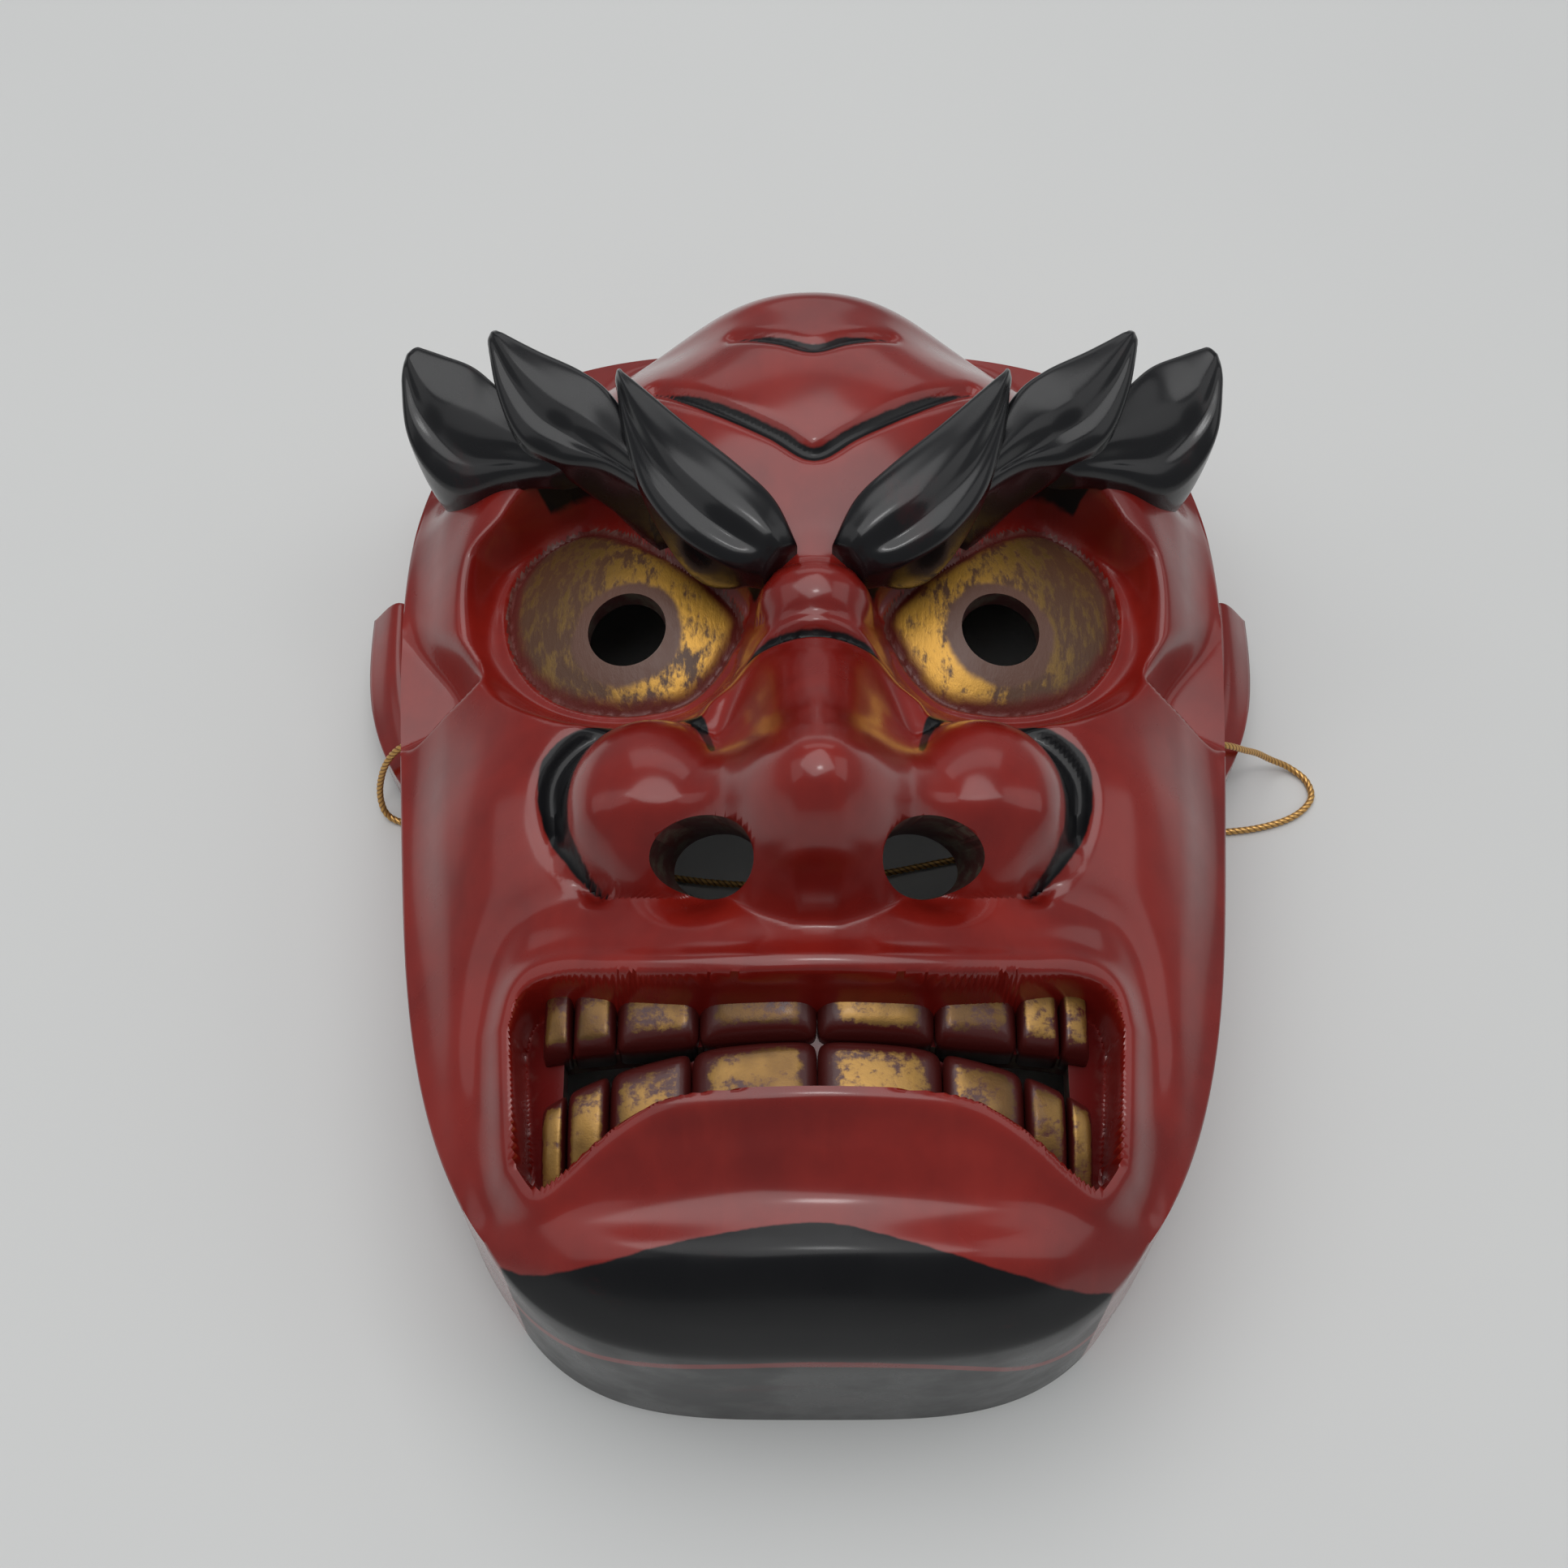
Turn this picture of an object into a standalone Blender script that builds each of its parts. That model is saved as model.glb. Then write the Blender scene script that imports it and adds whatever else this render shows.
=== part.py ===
"""Carved and lacquered wooden oni mask with a thin gold hanging cord.

The mask lies on its rim with the face up: +X to the mask's left side as it is worn, +Y to the
forehead, +Z out of the face. The origin is the middle of its footprint, on the surface it lies on.
The face is free carving. It is drawn on a pattern of PATTERN_WIDTH by PATTERN_LENGTH by
PATTERN_DEPTH steps, and the mask's own width, length and depth stretch that pattern. The wall, the
eye holes, the cord and its holes have sizes of their own.
"""
import math

import bmesh
import bpy
import numpy as np
from mathutils import Vector

# Driving sizes, metres
MASK_LENGTH = 0.2435
MASK_WIDTH = 0.1840
MASK_DEPTH = 0.1160
WALL = 0.0070
EYE_HOLE_DIAMETER = 0.0165
NOSTRIL_WIDTH = 0.0170
NOSTRIL_HEIGHT = 0.0125
MOUTH_SLOT_HEIGHT = 0.0046
CORD_DIAMETER = 0.0016
CORD_HOLE_CLEARANCE = 0.0015
KNOT_OVERHANG = 0.0012
RIM_CLEARANCE = 0.0018
RIM_LIFT_LENGTH = 0.0360
TOUCH_GAP = 0.0003
# What the cord passes through, and what stops it, from its own diameter
CORD_HOLE_DIAMETER = CORD_DIAMETER + 2 * CORD_HOLE_CLEARANCE
KNOT_DIAMETER = CORD_HOLE_DIAMETER + 2 * KNOT_OVERHANG
RIM_LIFT = CORD_DIAMETER + RIM_CLEARANCE
# How finely the mesh is made, how near two of its points are welded, and how long a tear is closed
MASK_TRIANGLES = 8300
CORD_POINTS = 78
WELD = 0.00002
PINHOLE = 0.0005
MASK_COLOUR = (0.30, 0.012, 0.014, 1.0)
CORD_COLOUR = (0.55, 0.30, 0.08, 1.0)

# The hole for the cord at either ear, from outside the wall to inside it, in pattern steps
CORD_HOLE_OUT = (92.0, 22.5, 25.6)
CORD_HOLE_IN = (70.0, 22.5, 20.4)

# The cord's own places, metres: from inside the right ear, under the right rim, across the table,
# under the left rim, round a loose loop and back over the left ear
CORD_ROUTE = (
    (-0.0802, 0.0225, 0.0228), (-0.0850, 0.0225, 0.0240), (-0.0895, 0.0227, 0.0251),
    (-0.0938, 0.0225, 0.0228), (-0.0975, 0.0215, 0.0178), (-0.0998, 0.0200, 0.0113),
    (-0.1004, 0.0184, 0.0055), (-0.0992, 0.0168, 0.0019), (-0.0955, 0.0153, 0.0009),
    (-0.0890, 0.0138, 0.0009), (-0.0780, 0.0118, 0.0009), (-0.0600, 0.0080, 0.0009),
    (-0.0380, 0.0020, 0.0009), (-0.0140, -0.0010, 0.0009), (0.0110, 0.0010, 0.0009),
    (0.0360, 0.0060, 0.0009), (0.0600, 0.0100, 0.0009), (0.0820, 0.0120, 0.0009),
    (0.0960, 0.0128, 0.0009), (0.1060, 0.0142, 0.0009), (0.1140, 0.0172, 0.0009),
    (0.1185, 0.0218, 0.0009), (0.1180, 0.0268, 0.0009), (0.1140, 0.0300, 0.0018),
    (0.1090, 0.0300, 0.0054), (0.1045, 0.0284, 0.0110), (0.1005, 0.0262, 0.0160),
    (0.0955, 0.0240, 0.0216), (0.0900, 0.0227, 0.0250), (0.0850, 0.0225, 0.0240),
    (0.0802, 0.0225, 0.0228),
)

# The pattern that the face is drawn on, in steps of about a millimetre
PATTERN_WIDTH = 184.0
PATTERN_LENGTH = 243.5
PATTERN_DEPTH = 116.0
STEP_X = MASK_WIDTH / PATTERN_WIDTH
STEP_Y = MASK_LENGTH / PATTERN_LENGTH
STEP_Z = MASK_DEPTH / PATTERN_DEPTH
HALF_LENGTH = PATTERN_LENGTH / 2

# Height of the plain dome down the middle of the face, from chin to forehead
CROWN_Y = (-122, -115, -109, -97, -90, -82, -70, -59, -45, -20, 0, 15, 27, 40, 52, 70, 83, 95, 107, 122)
CROWN_Z = (62, 66, 68, 68, 73, 78, 80, 82, 81, 79, 80, 82, 84, 88, 91, 92, 90.5, 88, 85.5, 77)
# Between these places along the face, the shell narrows and drops into the crown of the forehead
FOREHEAD_START = 62.0
FOREHEAD_END = 112.0
# The nose from the brow to its underside: height of its ridge and half its breadth at the foot
NOSE_Y = (-47.5, -46.5, -44, -40, -34, -26, -15, -5, 4, 10, 16, 22, 28, 38)
NOSE_Z = (78, 92, 104, 112, 115.5, 111, 102, 96, 91.5, 88, 89.5, 87, 83, 76)
NOSE_X = (8, 11, 15, 19, 22, 23, 22, 20, 18, 17, 16, 15, 13, 10)
NOSE_FOOT = 64.0
# Outlines in the plan: the opening of an eye, and the edges of the mouth from its middle to a corner
EYE_OPENING = ((15, 29), (31, 44), (48, 58.5), (56, 58.5), (62.5, 53), (66.5, 42), (65.5, 28), (61, 18),
               (54, 11), (45, 7), (35, 6), (25, 8.5), (17.5, 17))
MOUTH_UPPER = ((0, -60), (13, -60), (26, -59), (39, -57), (49, -55), (56, -56.5), (58.5, -63))
MOUTH_LOWER = ((0, -81), (14, -81.2), (28, -82), (39, -86.5), (47, -91.5), (52, -93), (56, -89))
LID_STEP = 2.0
MOUTH_DEPTH = 18.0
EYE_HOLE_PLACE = (39.0, 25.5)
# An eye hole leans this far towards the forehead on its way in
EYE_HOLE_LEAN = 6.0
# Cutters that work from the front start this high, clear of the face
CUTTER_TOP = 100.0
# Across the rim, the arches that lift it off the table are cut between these places
RIM_CUT_INNER = 70.0
RIM_CUT_OUTER = 120.0
# Middle and radii of a nose wing, and the two ends of a nostril
WING_MIDDLE = (31, -23, 74)
WING_RADII = (17.5, 17.5, 18)
NOSTRIL_ENDS = ((24, -44, 96), (14, -21, 45))
# Folds right across the face, each from its end to the middle: line in the plan, half width, depth
FOLDS = (
    (((34, 76), (20, 66), (8, 58), (0, 53)), 2.6, 3.0),
    (((17, 89), (7, 85), (0, 82)), 2.2, 2.2),
    (((17, 9), (10, 10.5), (0, 10.5)), 1.6, 2.2),
)
# Grooves on either side, round the nose wing and round the lips: line in the plan, half width, depth
GROOVES = (
    (((24, 0), (36, -2), (45, -5), (50, -10), (52, -16), (51, -23), (48, -30), (42, -38)), 3.2, 5.0),
    (((40, -40), (50, -39), (58, -41), (62.5, -48), (64, -60), (64.5, -72), (63, -84), (61, -94)), 4.0, 2.6),
)
# The waist between temple and cheek: its line in the plan, how far in it reaches, and its floor
WAIST_Y = 17.0
WAIST_SIDE = 72.0
WAIST_FLOOR = 33.0
# An ear sits in the waist: its outer edge, its upper end, its length, and its fall to the outer edge
EAR_REACH = 105.5
EAR_TOP = 65.0
EAR_LENGTH = 51.0
EAR_FALL = 17.0
EAR_BELOW_FLOOR = 2.0
# Each brow lock: its upper and its lower edge from root to tip
BROW_LOCKS = (
    (((3.5, 31, 88), (8, 39, 92), (15, 46, 94), (26, 57, 94), (36, 69, 92), (41.5, 76, 90)),
     ((10, 25, 85), (18, 26.5, 87), (27, 32, 89), (35, 43, 90), (39.5, 58, 90), (42, 74, 90))),
    (((27, 43, 84), (34, 55, 86), (42, 70, 87), (49, 76.5, 88), (59, 82.5, 88), (69, 89, 88)),
     ((34, 45, 84), (44, 54, 82), (54, 58.5, 80), (62.5, 64, 81), (67.5, 74, 84), (70.5, 87, 87))),
    (((47, 58, 78), (59, 70, 79), (68, 79, 80), (74, 85, 80), (81, 88.5, 80), (88, 91.5, 80)),
     ((56, 58, 75), (67, 60.5, 70), (77, 61.5, 65.5), (84, 66, 67), (89, 74, 72), (90.5, 87, 78))),
)
# Teeth, from the middle outwards: where each one starts and ends
UPPER_TEETH = ((0.6, 21.8), (22.8, 37.5), (38.5, 46.0), (47.0, 52.5))
LOWER_TEETH = ((0.6, 23.0), (24.0, 38.5), (39.5, 46.5), (47.5, 52.0))
# Lines of the roots and tips of the teeth, and their height over the bottom of the mouth
UPPER_ROOT = -53.0
UPPER_TIP = -66.4
LOWER_TIP = -67.6
LOWER_ROOT = -85.0
TOOTH_HEIGHT = 4.6
TOOTH_EDGE = 1.1


def clear_scene():
    """Empty the file of its objects."""
    for old in list(bpy.data.objects):
        bpy.data.objects.remove(old, do_unlink=True)


def ease(low, high, value):
    """Smooth step from 0 at low to 1 at high."""
    t = np.clip((value - low) / (high - low), 0, 1)
    return t * t * (3 - 2 * t)


def through(value, places, heights):
    """A smooth curve through heights at the places, read at value."""
    places = np.array(places, float)
    heights = np.array(heights, float)
    slope = np.gradient(heights, places)
    i = np.clip(np.searchsorted(places, value) - 1, 0, len(places) - 2)
    span = places[i + 1] - places[i]
    t = np.clip((value - places[i]) / span, 0, 1)
    return (heights[i] * (2 * t**3 - 3 * t**2 + 1) + slope[i] * span * (t**3 - 2 * t**2 + t)
            + heights[i + 1] * (3 * t**2 - 2 * t**3) + slope[i + 1] * span * (t**3 - t**2))


def smooth_path(points, parts, closed=False):
    """Catmull-Rom curve through the points, with parts steps from each to the next."""
    p = np.array(points, float)
    count = len(p) if closed else len(p) - 1
    out = []
    for i in range(count):
        if closed:
            a, b, c, d = (p[(i + k) % len(p)] for k in (-1, 0, 1, 2))
        else:
            b, c = p[i], p[i + 1]
            a = p[i - 1] if i > 0 else 2 * b - c
            d = p[i + 2] if i + 2 < len(p) else 2 * c - b
        for t in np.arange(parts) / parts:
            out.append(0.5 * (2 * b + (c - a) * t + (2 * a - 5 * b + 4 * c - d) * t**2
                              + (3 * b - a - 3 * c + d) * t**3))
    if not closed:
        out.append(p[-1])
    return np.array(out)


def path_distance(x, y, path):
    """Distance from each place to a path in the plan."""
    best = np.full(x.shape, 1e9)
    for a, b in zip(path[:-1], path[1:]):
        ab = b - a
        t = np.clip(((x - a[0]) * ab[0] + (y - a[1]) * ab[1]) / max(ab @ ab, 1e-9), 0, 1)
        best = np.minimum(best, np.hypot(x - a[0] - t * ab[0], y - a[1] - t * ab[1]))
    return best


def outside(x, y, loop):
    """Signed distance to a closed loop in the plan, negative inside it."""
    gap = path_distance(x, y, np.vstack([loop, loop[:1]]))
    inside = np.zeros(x.shape, bool)
    for a, b in zip(loop, np.roll(loop, -1, axis=0)):
        rising = (a[1] > y) != (b[1] > y)
        run = b[1] - a[1] if b[1] != a[1] else 1e-9
        inside ^= rising & (x < a[0] + (b[0] - a[0]) * (y - a[1]) / run)
    return np.where(inside, -gap, gap)


def half_width(y):
    """Half the width of the rim's side lines at y, before the corners round it off."""
    return 87.7 + 12.8 * y / HALF_LENGTH


def rim_norm(x, y):
    """1 on the outline of the mask, 0 in the middle: a superellipse that widens to the temples."""
    power = 3.7 - 0.5 * ease(0, 40, y) - 0.1 * ease(-20, -80, y)
    return (np.abs(x / half_width(y)) ** power + np.abs(y / HALF_LENGTH) ** power) ** (1 / power)


def shoulder(y):
    """Height where the side wall turns into the face."""
    return 40 - 16 * ease(FOREHEAD_START, FOREHEAD_END, y)


def dome(x, y):
    """The plain dome of the mask, before its features are carved."""
    top = ease(FOREHEAD_START, FOREHEAD_END, y)
    reach = (half_width(y) + 3) * (1 - top) + 58 * top
    crown = through(y, CROWN_Y, CROWN_Z)
    bow = 1 - (x / reach) ** 2
    bow = np.where(bow < 0.12, 0.12 * np.exp(np.minimum(bow / 0.12 - 1, 0)), bow)
    return shoulder(y) + (crown - shoulder(y)) * bow


def eyeball(x, y):
    """The bulging eye, lower towards the temple."""
    side = np.abs(x)
    return 69.5 - 0.22 * (side - 40) - 8 * ((side - 40) / 26) ** 2 - 9 * ((y - 31) / 26) ** 2


def mouth_edges(parts):
    """The upper and the lower edge of the mouth in the plan, from one corner to the other."""
    edges = []
    for line in (MOUTH_UPPER, MOUTH_LOWER):
        half = smooth_path(line, parts)
        edges.append(np.vstack([half[:0:-1] * (-1, 1), half]))
    return edges


def mouth_loop(parts=4):
    """The whole outline of the mouth in the plan."""
    upper, lower = mouth_edges(parts)
    return np.vstack([upper, lower[::-1]])


def mouth_floor(x, y):
    """The bottom of the mouth, which the teeth stand on."""
    return dome(x, y) - MOUTH_DEPTH + 5 * ease(25, 56, np.abs(x))


def face(x, y, parts=4):
    """Height of the face over its plan, before the sharp cuts are made."""
    side = np.abs(x)
    z = dome(x, y)
    # Cheeks, brow bone and the hollows beside the forehead
    z += 9.0 * np.exp(-((side - 63) / 21) ** 2 - ((y + 16) / 27) ** 2)
    z += 3.0 * np.exp(-((side - 76) / 9) ** 2 - ((y - 38) / 26) ** 2)
    z -= 3.0 * np.exp(-((side - 30) / 12) ** 2 - ((y - 96) / 12) ** 2)
    # Sockets, sloping down to the lids
    gap = outside(side, y, smooth_path(EYE_OPENING, parts, closed=True))
    lid = eyeball(x, y) + LID_STEP
    z = np.where(gap > 0, z - (z - lid) * (1 - ease(0, 10, gap)), lid)
    z += 1.6 * np.exp(-((gap - 8.5) / 3) ** 2) * ease(48, 62, side)
    # The waist, slanting from the temple and steep up to the cheek
    near = np.exp(-((y - WAIST_Y) / np.where(y > WAIST_Y, 18, 7.5)) ** 2)
    edge = WAIST_SIDE + 20 * (1 - near)
    share = ease(-3, 7, side - edge) * np.minimum(3 * near, 1)
    return z - np.maximum(z - WAIST_FLOOR, 0) * share


def skin(x, y, solid=True):
    """The face with its edge rounded over into the side wall; solid leaves the mouth closed."""
    norm = rim_norm(x, y)
    radius = 12 + 4 * ease(-60, -110, y) + 14 * ease(FOREHEAD_START, FOREHEAD_END, y)
    inset = (1 - norm) * np.maximum(np.hypot(x, y) / np.maximum(norm, 1e-6), 60)
    k = np.clip(1 - inset / radius, 0, 1)
    top = face(x, y)
    low = np.minimum(shoulder(y), top)
    z = low + (top - low) * np.sqrt(np.clip(1 - k * k, 0, 1))
    if solid:
        return z
    return np.where(outside(x, y, mouth_loop(3)) < 1, np.minimum(z, mouth_floor(x, y)), z)


def to_metres(points):
    """Pattern steps to metres."""
    return np.asarray(points, float) * (STEP_X, STEP_Y, STEP_Z)


def new_object(name, points, faces):
    """A mesh object from points in metres, its faces turned outwards."""
    mesh = bpy.data.meshes.new(name)
    mesh.from_pydata([tuple(p) for p in points], [], [tuple(int(i) for i in f) for f in faces])
    work = bmesh.new()
    work.from_mesh(mesh)
    bmesh.ops.remove_doubles(work, verts=work.verts, dist=1e-7)
    bmesh.ops.triangulate(work, faces=work.faces)
    bmesh.ops.recalc_face_normals(work, faces=work.faces)
    if work.calc_volume(signed=True) < 0:
        bmesh.ops.reverse_faces(work, faces=work.faces)
    work.to_mesh(mesh)
    work.free()
    thing = bpy.data.objects.new(name, mesh)
    bpy.context.scene.collection.objects.link(thing)
    return thing


def tube_faces(rows, columns, first_cap=True, last_cap=True):
    """Faces of a grid that is closed round its columns, with an n-gon at each end."""
    faces = []
    for i in range(rows - 1):
        for j in range(columns):
            k = (j + 1) % columns
            faces.append((i * columns + j, i * columns + k, (i + 1) * columns + k, (i + 1) * columns + j))
    if first_cap:
        faces.append(tuple(range(columns))[::-1])
    if last_cap:
        faces.append(tuple((rows - 1) * columns + j for j in range(columns)))
    return faces


def rim_plan(u, v):
    """Place a square of u and v from -1 to 1 on the plan of the mask, in pattern steps."""
    x, y = u * half_width(v * HALF_LENGTH), v * HALF_LENGTH
    square = np.maximum(np.abs(u), np.abs(v))
    fit = square / np.maximum(rim_norm(x, y), 1e-9)
    return x * fit, y * fit


def block(name, x, y, z, wall_levels):
    """Close a grid surface into a solid with a wall below its edge, at a list of heights."""
    rows, columns = x.shape
    top = np.stack([x, y, z], -1).reshape(-1, 3)
    index = np.arange(rows * columns).reshape(rows, columns)
    faces = [(index[i, j], index[i, j + 1], index[i + 1, j + 1], index[i + 1, j])
             for i in range(rows - 1) for j in range(columns - 1)]
    edge = np.concatenate([index[0, :-1], index[:-1, -1], index[-1, :0:-1], index[:0:-1, 0]])
    points = [top]
    ring = edge
    for level in wall_levels(top[edge]):
        new = np.arange(len(edge)) + sum(len(p) for p in points)
        points.append(level)
        faces += [(ring[j], ring[(j + 1) % len(ring)], new[(j + 1) % len(ring)], new[j])
                  for j in range(len(ring))]
        ring = new
    faces.append(tuple(ring))
    return new_object(name, np.vstack(points), faces)


def shell_outer(columns=30, rows=42):
    """The outside of the mask as one solid block, down to the flat rim."""
    u, v = np.meshgrid(spread(columns), spread(rows))
    x, y = rim_plan(u, v)
    z = skin(x, y)
    points = to_metres(np.stack([x, y, z], -1))

    def walls(edge):
        yield edge * (1.0, 1.0, 0.0)

    return block("mask", points[..., 0], points[..., 1], points[..., 2], walls)


def spread(count):
    """Steps from -1 to 1, closer together at both ends, where the face rounds over."""
    t = np.linspace(-1, 1, count + 1)
    return 0.72 * t + 0.28 * np.sin(t * math.pi / 2)


def hollow(columns=18, rows=24):
    """The space behind the face, one wall thickness inside it everywhere."""
    u, v = np.meshgrid(spread(columns), spread(rows))
    x, y = rim_plan(u, v)
    norm = np.maximum(rim_norm(x, y), 1e-9)
    reach = np.hypot(x, y) / norm
    wall_steps = WALL / STEP_Y
    shrink = np.clip(1 - wall_steps / np.maximum(reach, 1e-6), 0, 1)
    x, y = x * shrink, y * shrink
    z = skin(x, y, False) * STEP_Z - WALL
    for angle in np.arange(12) * math.tau / 12:
        for share in (0.5, 1.0):
            dx, dy = share * WALL * math.cos(angle), share * WALL * math.sin(angle)
            near = skin(x + dx / STEP_X, y + dy / STEP_Y, False) * STEP_Z
            z = np.minimum(z, near - WALL * math.sqrt(1 - share * share))
    points = to_metres(np.stack([x, y, z / STEP_Z], -1))

    def walls(edge):
        yield edge * (1.0, 1.0, 0.0) - (0.0, 0.0, WALL)

    return block("hollow", points[..., 0], points[..., 1], points[..., 2], walls)


def tidy_mesh(mesh):
    """Weld the points that a Boolean leaves almost on top of each other, and close its pinholes."""
    work = bmesh.new()
    work.from_mesh(mesh)
    bmesh.ops.remove_doubles(work, verts=work.verts, dist=WELD)
    bmesh.ops.dissolve_degenerate(work, dist=WELD, edges=work.edges)
    torn = [edge for edge in work.edges if not edge.is_manifold and edge.calc_length() < PINHOLE]
    bmesh.ops.collapse(work, edges=torn)
    bmesh.ops.triangulate(work, faces=work.faces)
    work.to_mesh(mesh)
    work.free()
    put_in_order(mesh)


def put_in_order(mesh):
    """Sort the points and triangles of a mesh, so that each run gives the same one."""
    points = np.array([corner.co for corner in mesh.vertices])
    order = np.lexsort(points.T)
    triangles = np.argsort(order)[np.array([face.vertices for face in mesh.polygons])]
    turn = triangles.argmin(axis=1)[:, None] + np.arange(3)
    triangles = np.take_along_axis(triangles, turn % 3, axis=1)
    triangles = triangles[np.lexsort(triangles.T)]
    mesh.clear_geometry()
    mesh.from_pydata(points[order].tolist(), [], triangles.tolist())


def cut(target, tool, operation="DIFFERENCE"):
    """Apply a Boolean with its exact solver, and drop the tool."""
    step = target.modifiers.new("cut", "BOOLEAN")
    step.operation = operation
    step.solver = "EXACT"
    step.object = tool
    graph = bpy.context.evaluated_depsgraph_get()
    result = bpy.data.meshes.new_from_object(target.evaluated_get(graph))
    target.modifiers.clear()
    old = target.data
    target.data = result
    bpy.data.meshes.remove(old)
    bpy.data.objects.remove(tool, do_unlink=True)
    tidy_mesh(target.data)


def pocket(name, loop, floor, top, rings=3):
    """A cutter with upright sides on a loop of the plan and a shaped floor."""
    middle = loop.mean(axis=0)
    points = []
    for share in np.linspace(1 / rings, 1, rings):
        ring = middle + (loop - middle) * share
        points.append(np.column_stack([ring, floor(ring[:, 0], ring[:, 1])]))
    points.append(np.column_stack([loop, np.full(len(loop), top)]))
    return new_object(name, to_metres(np.vstack(points)), tube_faces(rings + 1, len(loop)))


def mouth_tool(parts=2, rows=4):
    """A cutter for the mouth: upright sides on its two edges, and the shaped floor between them."""
    upper, lower = mouth_edges(parts)
    points = []
    for a, b in zip(upper, lower):
        across = np.array([a + (b - a) * share for share in np.linspace(0, 1, rows)])
        floor = mouth_floor(across[:, 0], across[:, 1])
        roof = [(b[0], b[1], CUTTER_TOP), (a[0], a[1], CUTTER_TOP)]
        points += [np.column_stack([across, floor]), roof]
    return new_object("mouth", to_metres(np.vstack(points)), tube_faces(len(upper), rows + 2))


def nose(columns=11):
    """The nose as a loft of arches from the brow to the underside of its tip."""
    angle = np.linspace(0, math.pi, columns)
    points = []
    for y, top, half in zip(NOSE_Y, NOSE_Z, NOSE_X):
        x = half * np.sign(np.cos(angle)) * np.abs(np.cos(angle)) ** 1.15
        z = NOSE_FOOT + (top - NOSE_FOOT) * np.sin(angle)
        points += [(a, y, b) for a, b in zip(x, z)] + [(-half, y, NOSE_FOOT - 3), (half, y, NOSE_FOOT - 3)]
    return new_object("nose", to_metres(points), tube_faces(len(NOSE_Y), columns + 2))


def groove_tool(name, line, width, depth):
    """A keel-shaped cutter along a line of the face, for a carved line that thins out at its ends."""
    line = np.asarray(line, float)
    along = np.linspace(0, 1, len(line))
    fade = np.sqrt(np.clip(np.sin(math.pi * along), 0.04, 1))
    tangent = np.gradient(line, axis=0)
    tangent /= np.linalg.norm(tangent, axis=1)[:, None]
    side = np.column_stack([tangent[:, 1], -tangent[:, 0]]) * (width * fade)[:, None]
    ground = skin(line[:, 0], line[:, 1])
    keel = np.column_stack([line, ground - depth * fade])
    left = np.column_stack([line + side, skin(*(line + side).T) + 0.35 * depth])
    right = np.column_stack([line - side, skin(*(line - side).T) + 0.35 * depth])
    roof = np.column_stack([line, ground + 1.5 * depth])
    points = np.stack([keel, left, roof, right], 1).reshape(-1, 3)
    return new_object(name, to_metres(points), tube_faces(len(line), 4))


def egg(name, middle, radii, columns=14, rows=9):
    """An ellipsoid of the face, such as a wing of the nose."""
    work = bmesh.new()
    bmesh.ops.create_uvsphere(work, u_segments=columns, v_segments=rows, radius=1.0)
    middle, radii = to_metres(middle), to_metres(radii)
    for corner in work.verts:
        corner.co = Vector([middle[k] + radii[k] * corner.co[k] for k in range(3)])
    mesh = bpy.data.meshes.new(name)
    work.to_mesh(mesh)
    work.free()
    thing = bpy.data.objects.new(name, mesh)
    bpy.context.scene.collection.objects.link(thing)
    return thing


def tunnel(name, start, end, half, loop):
    """A straight oval cutter between two points of the pattern; half holds its half sizes, metres."""
    a, b = Vector(to_metres(start)), Vector(to_metres(end))
    run = (b - a).normalized()
    side = run.cross(Vector((0, 1, 0))).normalized()
    up = side.cross(run)
    points = []
    for place in (a, b):
        for k in range(loop):
            angle = math.tau * k / loop
            points.append(place + side * half[0] * math.cos(angle) + up * half[1] * math.sin(angle))
    return new_object(name, points, tube_faces(2, loop))


def brow_lock(number, mirror, rows=9, loop=12):
    """One flame-shaped lock of an eyebrow: its root is sunk in the brow, its tip stands free."""
    upper, lower = (smooth_path(edge, 8) for edge in BROW_LOCKS[number])
    pick = np.linspace(0, len(upper) - 1, rows).round().astype(int)
    upper, lower = upper[pick], lower[pick]
    t = np.linspace(0, 1, rows)
    middle, half = (upper + lower) / 2, (upper - lower) / 2
    angle = np.arange(loop) * math.tau / loop
    c, s = np.cos(angle), np.sin(angle)
    crest = 3.0 - 1.6 * t[:, None] ** 2
    rise = crest * np.abs(s[None]) ** 0.8 * (1 - 0.45 * np.exp(-(c[None] / 0.35) ** 2))
    sunk = middle[:, 2] - np.maximum(skin(middle[:, 0], middle[:, 1]) - 4.6, 0)
    free = ease(0.45, 0.8, t)
    deep = (sunk * (1 - free) + (4.6 - 2.2 * t) * free)[:, None]
    rise = np.where(s[None] >= 0, rise, -deep * np.abs(s[None]) ** 0.6)
    points = middle[:, None] + half[:, None] * c[None, :, None] + rise[..., None] * (0, 0, 1)
    return new_object("lock", to_metres(points.reshape(-1, 3) * (mirror, 1, 1)), tube_faces(rows, loop))


def ear(mirror):
    """A flat-topped ear that flares out of the temple, with two flutes down it."""
    t = np.linspace(0, 1, 7)
    across = np.linspace(0, 1, 6)
    points = []
    flutes = np.array((0, 0, 3.0, -3.5, 2.6, -1.5))
    for down in t:
        outer = EAR_REACH - down - 13.0 * down**3
        x = WAIST_SIDE + (outer - WAIST_SIDE) * across
        z = WAIST_FLOOR - EAR_BELOW_FLOOR - 3 * down - (EAR_FALL - 4 * down) * across + flutes * (1 - down)
        y = EAR_TOP - EAR_LENGTH * down
        points += [(x[i], y, z[i]) for i in range(6)]
        points += [(x[i], y, 4.0 + 2.0 * across[i]) for i in range(5, -1, -1)]
    return new_object("ear", to_metres(np.array(points) * (mirror, 1, 1)), tube_faces(len(t), 12))


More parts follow.
